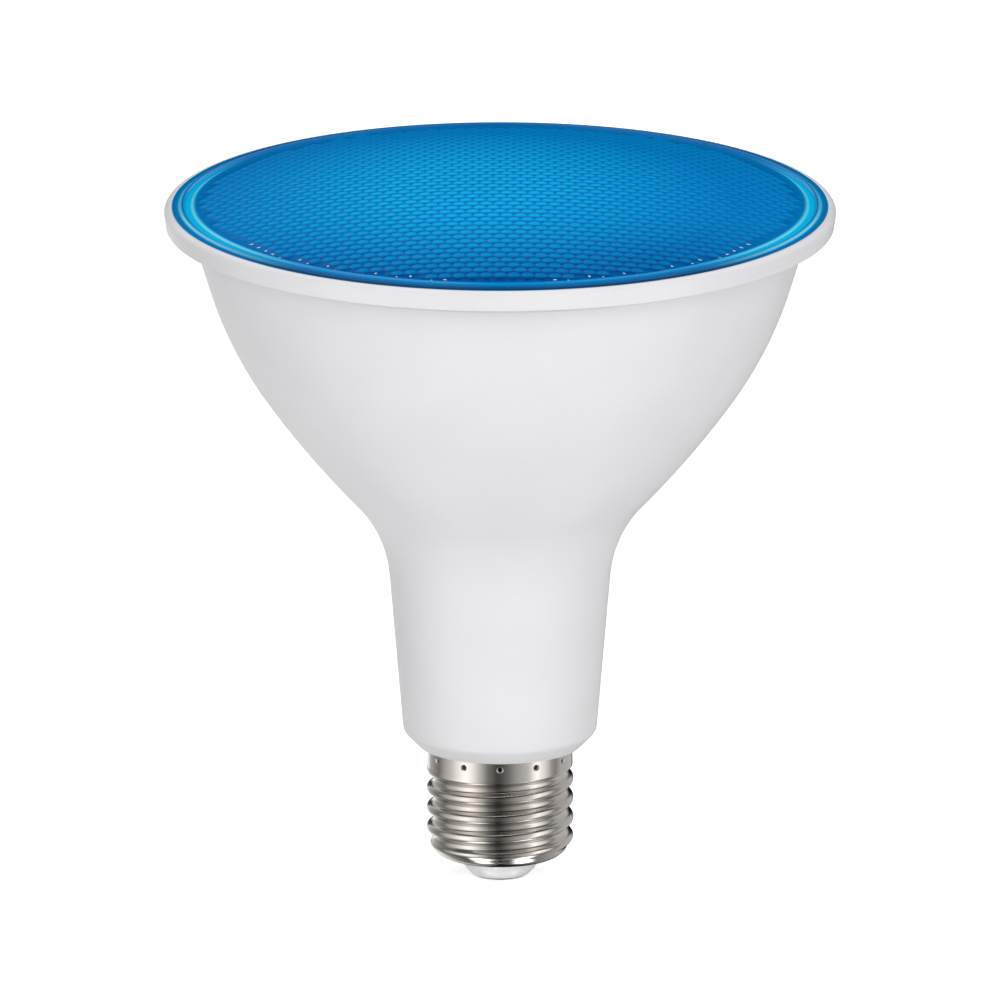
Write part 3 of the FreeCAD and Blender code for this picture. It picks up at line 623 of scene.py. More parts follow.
# Enamelled copper wire, wound: fine rings across the winding
ENAMELLED_COPPER = Finish(
    "wound_enamelled_copper", "#A85A2A", "#8C431C", 0.3, metallic=1.0, grain=0.35, relief=0.03,
    process=Process.TURNED)
# Moulded epoxy package: matt black from spark-eroded moulds
BLACK_EPOXY = Finish("moulded_black_epoxy", "#1B1B1C", "#242425", 0.55, grain=0.15, relief=0.01, blotch=1.5)
# Flameproof lacquer on the fusible resistor: matt grey-green, a little uneven
LACQUER = Finish(
    "flameproof_grey_green_lacquer", "#7A8F86", "#6C8078", 0.45, grain=0.4, relief=0.008, blotch=2.0)
# Extruded PVC insulation of the three leads: soft sheen, even colour
WHITE_PVC = Finish("extruded_white_pvc", "#E2E2DF", "#D8D8D4", 0.45, grain=0.4)
RED_PVC = Finish("extruded_red_pvc", "#B3201C", "#A01B18", 0.42, grain=0.4)
BLACK_PVC = Finish("extruded_black_pvc", "#1A1A1B", "#222223", 0.45, grain=0.4)

# Finishes of the CAD nodes whose shape is right as it is
INNER_FINISHES = {
    "lens_gasket": SILICONE,
    "heat_sink": SPUN_ALUMINIUM,
    "led_board": WHITE_MASK,
    "led_packages": PHOSPHOR,
    "board_screws": ZINC,
    "driver_board": GREEN_MASK,
    "bulk_capacitor": SLEEVE,
    "output_capacitor": SLEEVE,
    "film_capacitor": EPOXY_DIP,
    "inductor_core": FERRITE,
    "inductor_winding": ENAMELLED_COPPER,
    "bridge_rectifier": BLACK_EPOXY,
    "controller_chip": BLACK_EPOXY,
    "fusible_resistor": LACQUER,
    "neutral_lead": WHITE_PVC,
    "positive_lead": RED_PVC,
    "negative_lead": BLACK_PVC,
}


def dress(piece: bpy.types.Object, finish: Finish, slot: str, *nodes: str) -> bpy.types.Object:
    """Gives a new piece its material and ties it to the frame.

    Args:
        piece: the new piece.
        finish: its finish.
        slot: the record's slot for that finish; not used.
        nodes: the CAD nodes that it stands for.

    Returns:
        The piece.
    """
    piece.data.materials.append(finish.material())
    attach(piece, BODY)
    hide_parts(*nodes)
    LOG.info("%s: %d vertices", piece.name, len(piece.data.vertices))
    return piece


# Sub-assemblies

@dataclass
class ScrewCap:
    """The 27 mm screw cap: rolled shell, ceramic insulator and the contact at its foot.

    The shell's rows lie row_step apart on the thread, at edge_rows below its top, and across a crimp as far
    as row_reach crimp radii from its middle. The sections lie close together up to section_reach of them.
    """

    contact_radius: float = 4.7
    contact_thickness: float = 0.25
    contact_round: float = 0.1
    rivet_round: float = 0.2
    rivet_radius: float = 1.6
    rivet_bore: float = 0.7
    rivet_floor: float = 0.5
    rivet_top: float = 6.2
    nose_foot_radius: float = 5.1
    nose_radius: float = 7.5
    nose_curve: float = 8.1
    insulator_bore: float = 1.7
    insulator_seat: float = 4.0
    insulator_top: float = 5.4
    insulator_radius: float = 9.0
    insulator_round: float = 0.2
    lip_height: float = 3.65
    hole_radius: float = 7.7
    wall: float = 0.35
    dome_curve: float = 3.45
    thread_radius: float = 13.2
    thread_depth: float = 1.15
    thread_pitch: float = 3.6
    crest_height: float = 10.65
    thread_fade_in: tuple[float, float] = (4.6, 7.6)
    collar_foot: float = 20.4
    collar_blend: float = 0.45
    collar_radius: float = 13.05
    shell_top: float = 24.05
    crimp_count: int = 12
    crimp_height: float = 22.6
    crimp_radius: float = 0.6
    crimp_floor: float = 0.28
    crimp_depth: float = 0.3
    row_step: float = 0.12
    edge_rows: tuple[float, ...] = (0.25, 0.1, 0.0)
    row_reach: float = 1.4
    section_reach: float = 1.5

    def knuckle(self, height: np.ndarray) -> np.ndarray:
        """Height of the rolled thread above its middle line, by the distance along the axis from a crest.

        Crest and root are arcs of one radius that meet with one slope: within a quarter pitch of a crest
        the crest's arc counts, sqrt(R^2 - x^2) less its centre's depth, and beyond it the root's.

        Args:
            height: distances along the axis from a crest.

        Returns:
            The height at each distance, from minus to plus half the thread's depth.
        """
        slope = 2 * math.atan(self.thread_depth / (self.thread_pitch / 2))
        radius = self.thread_pitch / 4 / math.sin(slope)
        sunk = radius - self.thread_depth / 2
        away = np.abs((height / self.thread_pitch + 0.5) % 1 - 0.5) * self.thread_pitch
        crest = np.sqrt(np.clip(radius ** 2 - away ** 2, 0, None)) - sunk
        root = sunk - np.sqrt(np.clip(radius ** 2 - (self.thread_pitch / 2 - away) ** 2, 0, None))
        return np.where(away < self.thread_pitch / 4, crest, root)

    def section_turns(self) -> np.ndarray:
        """Angles of the sections: close together across each crimp, wide between crimps.

        Returns:
            The angles in radians, once round from the front.
        """
        width = self.section_reach * self.crimp_radius / self.collar_radius
        step = 2 * math.pi / self.crimp_count
        near = np.linspace(-width, width, 21)
        far = np.linspace(width, step - width, 9)[1:-1]
        starts = -math.pi / 2 + step * np.arange(self.crimp_count)
        return (starts[:, None] + np.concatenate((near, far))).ravel()

    def shell(self) -> bpy.types.Object:
        """The rolled shell: a dome, a helical knuckle thread and a plain collar with its ring of crimps.

        Each point starts on a turned section. Its radius grows by the knuckle's height at its own height
        less pitch times turn over a full turn, so the crests climb round the axis as a right-hand screw.

        Returns:
            The shell.
        """
        middle = self.thread_radius - self.thread_depth / 2
        centre = (middle - self.dome_curve, self.lip_height + self.dome_curve)
        dome = circle_arc(centre, self.dome_curve, -90, 0, 22)
        thread = np.arange(centre[1], self.collar_foot, self.row_step)[1:]
        low = np.linspace(self.collar_foot, self.crimp_height - self.section_reach * self.crimp_radius, 5)
        reach = self.row_reach * self.crimp_radius
        crimps = np.linspace(self.crimp_height - reach, self.crimp_height + reach, 19)
        heights = np.concatenate((thread, low, crimps, self.shell_top - np.array(self.edge_rows)))
        wall = np.column_stack((np.full(len(heights), middle), heights))
        outer = np.concatenate(([[self.hole_radius, self.lip_height]], dome, wall))
        inner = np.concatenate((
            [[self.hole_radius, self.lip_height + self.wall]],
            circle_arc(centre, self.dome_curve - self.wall, -90, 0, 14),
            np.column_stack((np.full(40, middle - self.wall), np.linspace(centre[1], self.shell_top, 41)[1:])),
        ))
        section = np.concatenate((outer, inner[::-1]))
        turns = self.section_turns()
        up = section[:, 1:2]
        lead = self.thread_pitch * (turns[None, :] % (2 * math.pi)) / (2 * math.pi)
        climb = up - self.crest_height - lead
        collared = smoothstep(up, self.collar_foot - self.collar_blend, self.collar_foot)
        threaded = smoothstep(up, *self.thread_fade_in) * (1 - collared)
        radius = section[:, 0:1] + threaded * self.knuckle(climb) + collared * (self.collar_radius - middle)
        step = 2 * math.pi / self.crimp_count
        swing = ((turns + math.pi / 2) / step + 0.5) % 1 - 0.5
        away = np.hypot(swing[None, :] * step * self.collar_radius, up - self.crimp_height)
        dent = 1 - smoothstep(away, self.crimp_floor, self.crimp_radius)
        dent[len(outer):] = 0
        radius = radius - self.crimp_depth * dent
        points = np.stack((radius * np.cos(turns), radius * np.sin(turns), up + 0 * radius), axis=-1)
        faces = wrapped_quads(len(section), len(turns), closed=True)
        # The dent's depth also sets where the painted shade in the crimps goes
        layers = {"dent": dent.ravel()}
        piece = make_mesh("rolled_screw_shell", points.reshape(-1, 3), faces.tolist(), 50, layers)
        return dress(piece, NICKEL, "nickel_shell", "screw_shell")

    def insulator(self) -> bpy.types.Object:
        """The ceramic nose under the shell, whose flange rests on the shell's lip.

        Returns:
            The insulator.
        """
        nose = np.array([[self.nose_foot_radius, self.contact_thickness], [self.nose_radius, self.lip_height]])
        chord = nose[1] - nose[0]
        half = np.linalg.norm(chord) / 2
        normal = np.array([-chord[1], chord[0]]) / (2 * half)
        centre = nose.mean(0) + normal * math.sqrt(self.nose_curve ** 2 - half ** 2)
        angles = [math.degrees(math.atan2(*(corner - centre)[::-1])) for corner in nose]
        curve = circle_arc(tuple(centre), self.nose_curve, angles[0], angles[1], 14)
        foot_corners = np.array([[self.insulator_bore, self.contact_thickness], nose[0], curve[1]])
        foot = eased(foot_corners, np.array([0.0, self.insulator_round, 0.0]), 4)[1:-1]
        rim_corners = np.array([
            [self.nose_radius, self.insulator_seat],
            [self.insulator_radius, self.insulator_seat],
            [self.insulator_radius, self.insulator_top],
            [self.insulator_bore, self.insulator_top],
            [self.insulator_bore, self.contact_thickness],
        ])
        rim = eased(rim_corners, np.array([0.0, self.insulator_round, self.insulator_round, 0.0, 0.0]), 4)
        outline = np.concatenate((rim[-1:], foot, curve[2:], rim[:-1]))
        piece = turned_piece("ceramic_insulator", outline, 144, 35)
        return dress(piece, CERAMIC, "insulator_white", "base_insulator")

    def contact(self) -> bpy.types.Object:
        """The contact disc with its hollow rivet, riveted through the insulator.

        Returns:
            The contact.
        """
        corners = np.array([
            [0.0, 0.0],
            [self.contact_radius, 0.0],
            [self.contact_radius, self.contact_thickness],
            [self.rivet_radius, self.contact_thickness],
            [self.rivet_radius, self.rivet_top],
            [self.rivet_bore, self.rivet_top],
            [self.rivet_bore, self.rivet_floor],
            [0.0, self.rivet_floor],
        ])
        rounds = np.array([
            0, self.contact_round, self.contact_round, 0, self.rivet_round, self.rivet_round, 0, 0])
        piece = turned_piece("tinned_contact", eased(corners, rounds, 4), 96, 35)
        return dress(piece, TINNED, "contact_metal", "centre_contact")

    def build(self) -> list[bpy.types.Object]:
        """The cap's three pieces."""
        return [self.contact(), self.insulator(), self.shell()]


@dataclass
class Housing:
    """The white housing: spigot, neck, waist and bell in one moulding.

    The rounds are set-backs: at the spigot's end, at its shoulder, at the rim over the shell and at the neck.
    """

    wall: float = 1.8
    spigot_bore: float = 9.6
    spigot_end: float = 14.0
    spigot_foot_radius: float = 11.3
    spigot_step: float = 20.6
    spigot_radius: float = 12.6
    end_height: float = 24.15
    end_radius: float = 14.55
    neck_end_radius: float = 17.387
    neck_end_round: float = 0.8
    neck_top_height: float = 55.5
    neck_draft: float = 4.92
    waist_curve: float = 23.5
    waist_angle: float = 43.6
    lower_curve: float = 172.8
    bell_angle: float = 35.3
    upper_curve: float = 73.0
    mouth_angle: float = 17.2
    mouth_height: float = 120.55
    flange_radius: float = 59.2
    flange_top: float = 122.15
    well_lift: float = 13.35
    spigot_round: float = 0.3
    shoulder_round: float = 0.2
    end_round: float = 0.15
    sections: int = 256

    def outer_wall(self) -> np.ndarray:
        """The chain of tangent arcs from the neck's lower end to the mouth.

        Returns:
            One row of radius, height and slope for each point.
        """
        chamfer_top = self.end_height + self.neck_end_radius - self.end_radius
        draft = math.tan(math.radians(self.neck_draft))
        neck = np.column_stack((
            self.neck_end_radius + draft * np.linspace(0.0, self.neck_top_height - chamfer_top, 16),
            np.linspace(chamfer_top, self.neck_top_height, 16),
            np.full(16, self.neck_draft),
        ))
        waist = tangent_arc(neck[-1], self.waist_curve, self.neck_draft, self.waist_angle, 40)
        lower = tangent_arc(waist[-1], self.lower_curve, self.waist_angle, self.bell_angle, 30)
        upper = tangent_arc(lower[-1], self.upper_curve, self.bell_angle, self.mouth_angle, 34)
        rise = np.linspace(0.0, self.mouth_height - upper[-1, 1], 10)
        lean = math.tan(math.radians(self.mouth_angle))
        cone = np.column_stack((upper[-1, 0] + rise * lean, upper[-1, 1] + rise, np.full(10, self.mouth_angle)))
        return np.concatenate((neck, waist[1:], lower[1:], upper[1:], cone[1:]))

    def build(self) -> bpy.types.Object:
        """The moulding: its outer wall, and the same chain moved in along its normal by the wall.

        Returns:
            The housing.
        """
        outer = self.outer_wall()
        slope = np.radians(outer[:, 2])
        inner = outer[:, :2] + self.wall * np.column_stack((-np.cos(slope), np.sin(slope)))
        inner = inner[(inner[:, 1] < self.flange_top) & (inner[:, 1] > inner[:, 0] + self.well_lift)]
        lean = math.tan(math.radians(self.mouth_angle))
        mouth_bore = inner[-1, 0] + (self.flange_top - inner[-1, 1]) * lean
        corners = np.array([
            [self.spigot_bore, self.spigot_end],
            [self.spigot_foot_radius, self.spigot_end],
            [self.spigot_foot_radius, self.spigot_step],
            [self.spigot_radius, self.spigot_step],
            [self.spigot_radius, self.end_height],
            [self.end_radius, self.end_height],
            outer[0, :2],
            outer[2, :2],
        ])
        rounds = np.array([
            self.spigot_round, self.spigot_round, 0, self.shoulder_round, 0, self.end_round,
            self.neck_end_round, 0])
        foot = eased(corners, rounds, 6)[:-1]
        edge = np.array([
            [self.flange_radius, self.mouth_height],
            [self.flange_radius, self.flange_top],
            [mouth_bore, self.flange_top],
        ])
        well = [[radius, radius + self.well_lift] for radius in (inner[0, 0], self.spigot_bore)]
        outline = np.concatenate((foot, outer[2:, :2], edge, inner[::-1], well))
        piece = turned_piece("white_bell_housing", outline, self.sections, 30)
        return dress(piece, HOUSING_WHITE, "housing_white", "housing")


@dataclass
class FrontRing:
    """The ring that clamps the lens to the housing's mouth. Its rounds are set-backs."""

    foot_height: float = 120.35
    foot_radius: float = 59.975
    radius: float = 60.325
    top: float = 123.95
    top_round: float = 1.2
    bore: float = 59.375
    lip_radius: float = 58.9
    lip_underside: float = 123.3
    foot_rounds: tuple[float, float] = (0.1, 0.2)
    lip_rounds: tuple[float, float, float] = (0.12, 0.1, 0.0)
    sections: int = 256

    def build(self) -> bpy.types.Object:
        """The ring: a turned section with a soft outer top edge and crisp inner ones.

        Returns:
            The ring.
        """
        edge_centre = (self.radius - self.top_round, self.top - self.top_round)
        edge = circle_arc(edge_centre, self.top_round, 0, 90, 12)
        corners = np.concatenate((
            [[self.bore, self.foot_height], [self.foot_radius, self.foot_height]],
            edge,
            [[self.lip_radius, self.top], [self.lip_radius, self.lip_underside]],
            [[self.bore, self.lip_underside]],
        ))
        rounds = np.array([*self.foot_rounds, *np.zeros(len(edge)), *self.lip_rounds])
        piece = turned_piece("white_front_ring", eased(corners, rounds, 7), self.sections, 30)
        return dress(piece, RING_WHITE, "ring_white", "front_ring")


@dataclass
class PillowLens:
    """The blue lens: a low dome covered with small hexagonal pillows, inside a smooth stepped rim.

    A pillow's points lie at inner_ring and outer_ring of the way to its edge. Its painted light fades with the
    square of the distance from its middle, by shade_across and shade_along. Points are merged by their cell on
    a grid of merge_grid, moved by merge_shift of a cell so that no shared point lies on a cell's border.
    """

    pitch: float = 2.46
    pillow_sag: float = 0.32
    margin: float = 0.1
    field_radius: float = 54.7
    field_height: float = 124.375
    field_rise: float = 5.4
    wall: float = 2.0
    top: float = 124.025
    radius: float = 58.9
    ledge_radius: float = 59.2
    ledge_top: float = 123.15
    underside: float = 122.55
    bead_radius: float = 57.15
    bead_width: float = 0.9
    bead_rise: float = 0.35
    ramp_radius: float = 55.4
    band_radius: float = 56.4
    rib_outer: float = 53.5
    rib_inner: float = 52.4
    rib_end: float = 120.95
    band_lift: float = 0.08
    band_slope: float = 0.15
    band_ease: float = 0.02
    edge_round: float = 0.12
    edge_ease: float = 0.03
    inner_ring: float = 0.45
    outer_ring: float = 0.8
    shade_across: float = 0.65
    shade_along: float = 1.2
    rim_level: float = 0.55
    rim_overlap: float = 0.05
    glint_turns: tuple[float, float] = (9.0, 58.0)
    merge_grid: float = 0.01
    merge_shift: float = 0.23
    sections: int = 240

    @property
    def curve(self) -> float:
        """Radius of the dome, from its width and rise: (w^2 + h^2) / 2h."""
        return (self.field_radius ** 2 + self.field_rise ** 2) / (2 * self.field_rise)

    def dome(self, radius: np.ndarray, sunk: float = 0.0) -> np.ndarray:
        """Height of the dome, or of one sunk below it, at a radius r: centre + sqrt(R^2 - r^2)."""
        centre = self.field_height + self.field_rise - self.curve
        return centre + np.sqrt((self.curve - sunk) ** 2 - radius ** 2)

    def cell_centres(self) -> np.ndarray:
        """Centres of the pillows that fit whole inside the field, in rows offset by half a pitch.

        Returns:
            One row of x and y for each pillow.
        """
        reach = int(self.field_radius / self.pitch) + 2
        column, row = np.meshgrid(np.arange(-reach, reach + 1), np.arange(-reach - 6, reach + 7))
        across = (column + 0.5 * (row % 2)) * self.pitch
        along = row * self.pitch * math.sqrt(3) / 2
        whole = np.hypot(across, along) + self.pitch / math.sqrt(3) <= self.field_radius - self.margin
        return np.column_stack((across[whole], along[whole]))

    def cell_pattern(self) -> tuple[np.ndarray, list]:
        """One pillow: a fan and two bands of a hexagon.

        Returns:
            Its points as offsets from its centre, and the corners of each face.
        """
        corner = self.pitch / math.sqrt(3)
        six = np.radians(30 + 60 * np.arange(6))
        twelve = np.radians(30 + 30 * np.arange(12))
        hexagon = corner * np.where(np.arange(12) % 2 == 0, 1.0, math.cos(math.pi / 6))
        rings = [
            np.zeros((1, 2)),
            self.inner_ring * corner * np.column_stack((np.cos(six), np.sin(six))),
            self.outer_ring * hexagon[:, None] * np.column_stack((np.cos(twelve), np.sin(twelve))),
            hexagon[:, None] * np.column_stack((np.cos(twelve), np.sin(twelve))),
        ]
        fan = [(0, 1 + k, 1 + (k + 1) % 6) for k in range(6)]
        inner = [(1 + k, 7 + 2 * k, 8 + 2 * k) for k in range(6)]
        inner += [(1 + k, 8 + 2 * k, 1 + (k + 1) % 6) for k in range(6)]
        inner += [(1 + (k + 1) % 6, 8 + 2 * k, 7 + (2 * k + 2) % 12) for k in range(6)]
        outer = [(7 + k, 19 + k, 19 + (k + 1) % 12, 7 + (k + 1) % 12) for k in range(12)]
        return np.concatenate(rings), fan + inner + outer

    def pillows(self) -> tuple[np.ndarray, list, np.ndarray, np.ndarray]:
        """All pillows, their shared points merged.

        A pillow is a paraboloid on the dome: its crown touches the dome, and it sinks by sag times the
        square of the distance from its centre over the square of its corner's, so neighbours meet in
        valleys that are deepest at their corners.

        Returns:
            Points, faces, the painted shade level of each point on its pillow, and the edge loop's points in
            order.
        """
        centres = self.cell_centres()
        offsets, pattern = self.cell_pattern()
        flat = (centres[:, None] + offsets[None]).reshape(-1, 2)
        share = np.tile((np.hypot(*offsets.T) * math.sqrt(3) / self.pitch) ** 2, len(centres))
        # Painted shade level: it deepens with the weighted square of the distance from the pillow's middle
        bent = self.shade_across * offsets[:, 0] ** 2 + self.shade_along * offsets[:, 1] ** 2
        shade = np.tile(3 * bent / self.pitch ** 2, len(centres))
        key = np.round(flat / self.merge_grid + self.merge_shift).astype(np.int64)
        row_length = 100000
        cell = key[:, 0] * row_length + key[:, 1]
        _, first, merged = np.unique(cell, return_index=True, return_inverse=True)
        merged = merged.ravel()
        base = np.arange(len(centres))[:, None] * len(offsets)
        faces = []
        edges = []
        for face in pattern:
            faces.append(merged[base + np.array(face)])
            if len(face) == 4:
                edges.append(faces[-1][:, 1:3])
        edges = np.concatenate(edges)
        order = np.sort(edges, 1)
        pair = order[:, 0] * len(first) + order[:, 1]
        _, found, count = np.unique(pair, return_index=True, return_counts=True)
        rim = edges[found[count == 1]]
        follow = dict(rim.tolist())
        loop = [int(rim[0, 0])]
        while len(loop) < len(rim):
            loop.append(follow[loop[-1]])
        spots, share, shade = flat[first], share[first], shade[first]
        height = self.dome(np.hypot(*spots.T)) - self.pillow_sag * share
        points = np.column_stack((spots, height))
        return points, [corners for group in faces for corners in group.tolist()], 1 - shade, np.array(loop)

    def glints(self, points: np.ndarray, loop: np.ndarray) -> np.ndarray:
        """Where the painted glints go: the outermost corner of each border pillow, at the front.

        Args:
            points: all points of the lens.
            loop: the pillows' edge loop.

        Returns:
            One for a point that glints, zero for the others.
        """
        radius = np.hypot(*points[loop, :2].T)
        outermost = (radius > np.roll(radius, 1)) & (radius >= np.roll(radius, -1))
        turn = np.degrees(np.arctan2(points[loop, 0], -points[loop, 1]))
        lit = outermost & (np.abs(turn) > self.glint_turns[0]) & (np.abs(turn) < self.glint_turns[1])
        values = np.zeros(len(points))
        values[loop[lit]] = 1.0
        return values

    def rim_outline(self) -> np.ndarray:
        """From the field's edge out over the rim's steps, round the outer edge and back to the axis below.

        Returns:
            One row of radius and height for each point.
        """
        bead_curve = (self.bead_width ** 2 / 4 + self.bead_rise ** 2) / (2 * self.bead_rise)
        spread = math.degrees(math.asin(self.bead_width / 2 / bead_curve))
        bead_centre = (self.bead_radius, self.top + self.bead_rise - bead_curve)
        bead = circle_arc(bead_centre, bead_curve, 90 + spread, 90 - spread, 9)
        ramp = smoothstep(np.linspace(0.0, 1.0, 8), 0.0, 1.0)
        fall = self.field_height - self.top - self.band_lift
        shoulder = np.column_stack((
            np.linspace(self.field_radius, self.ramp_radius, 8), self.field_height - fall * ramp))
        below = np.linspace(self.rib_inner, 0.0, 26)
        return np.concatenate((
            shoulder,
            [[self.ramp_radius + self.band_slope, self.top + self.band_lift]],
            [[self.band_radius - self.band_lift, self.top + self.band_ease]],
            [[self.band_radius, self.top]],
            bead,
            [[self.radius - self.edge_round, self.top]],
            [[self.radius - self.edge_ease, self.top - self.edge_ease]],
            [[self.radius, self.top - self.edge_round]],
            [[self.radius, self.ledge_top]],
            [[self.ledge_radius, self.ledge_top]],
            [[self.ledge_radius, self.underside]],
            [[self.rib_outer, self.underside]],
            [[self.rib_outer, self.rib_end]],
            [[self.rib_inner, self.rib_end]],
            np.column_stack((below, self.dome(below, self.wall))),
        ))

    def build(self) -> bpy.types.Object:
        """The lens: pillows, the collar that joins their scalloped edge to a circle, rim and underside.

        Returns:
            The lens.
        """
        points, faces, height, loop = self.pillows()
        turns = even_turns(self.sections)
        outline = self.rim_outline()
        rings, _ = revolve(outline, turns)
        start = len(points)
        grid = wrapped_quads(len(outline), len(turns), closed=False)[:, ::-1] + start
        circle = start + np.arange(len(turns))
        every = np.concatenate((points, rings))
        joined = np.concatenate((loop, circle))
        count = len(loop)
        ring_edges = [(k, (k + 1) % count) for k in range(count)]
        ring_edges += [(count + k, count + (k + 1) % len(turns)) for k in range(len(turns))]
        only_inside = 1
        flat = delaunay_2d_cdt([tuple(p) for p in every[joined, :2]], ring_edges, [], only_inside, 1e-6)
        source = joined[[copies[0] for copies in flat[3]]]
        patch = source[np.array(flat[2])]
        middle = every[patch].mean(1)[:, :2]
        centres = self.cell_centres()
        away = np.abs(middle[:, None] - centres[None])
        from_centre = np.maximum(away[..., 0], away[..., 0] / 2 + away[..., 1] * math.sqrt(3) / 2)
        inside = from_centre.min(1) < self.pitch / 2
        patch = patch[~inside]
        corner = every[patch][:, :, :2]
        side = np.cross(corner[:, 1] - corner[:, 0], corner[:, 2] - corner[:, 0])
        patch[side < 0] = patch[side < 0][:, ::-1]
        # The pillow attribute is the painted shade level of each point, rim_level on the rim; glint marks
        # painted highlights
        level = np.concatenate((height, np.full(len(rings), self.rim_level)))
        piece = make_mesh(
            "blue_pillow_lens", every, faces + patch.tolist() + grid.tolist(), 38,
            {"pillow": np.clip(level, 0, 1), "glint": self.glints(every, loop)})
        piece.data.materials.append(RIM_BLUE.material())
        polygons = piece.data.polygons
        spots = np.empty(3 * len(polygons))
        polygons.foreach_get("center", spots)
        smooth = np.hypot(spots[0::3], spots[1::3]) > (self.field_radius - self.rim_overlap) * MM
        polygons.foreach_set("material_index", np.where(smooth, 0, 1).astype(np.int32))
        return dress(piece, PILLOW_BLUE, "lens_blue", "lens")


@dataclass
class Inside:
    """What the housing holds: CAD nodes with the right shape, which only take their finishes."""

    finishes: dict[str, Finish] = field(default_factory=lambda: dict(INNER_FINISHES))

    def build(self) -> None:
        """Gives each node its material."""
        for name, finish in self.finishes.items():
            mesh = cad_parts[name].data
            mesh.materials.clear()
            mesh.materials.append(finish.material())
            LOG.info("%s: %s", name, finish.name)


def stand(name: str, data: bpy.types.ID, place: tuple, tilt: float, turn: float) -> bpy.types.Object:
    """Puts a camera or lamp into the scene.

    Args:
        name: its name.
        data: the camera or the lamp.
        place: its place in millimetres.
        tilt: how far it looks down, in radians.
        turn: its turn round the upright axis, in radians.

    Returns:
        The object that holds it.
    """
    holder = bpy.data.objects.new(name, data)
    holder.location = [part * MM for part in place]
    holder.rotation_euler = (math.pi / 2 - tilt, 0.0, turn)
    bpy.context.scene.collection.objects.link(holder)
    return holder


def paint_with(piece: bpy.types.Object, name: str) -> Tree:
    """Gives a piece of the studio a material of its own.

    Args:
        piece: the piece.
        name: the material's name.

    Returns:
        The material's node tree.
    """
    paint = bpy.data.materials.new(name)
    paint.use_nodes = True
    piece.data.materials.append(paint)
    return paint.node_tree


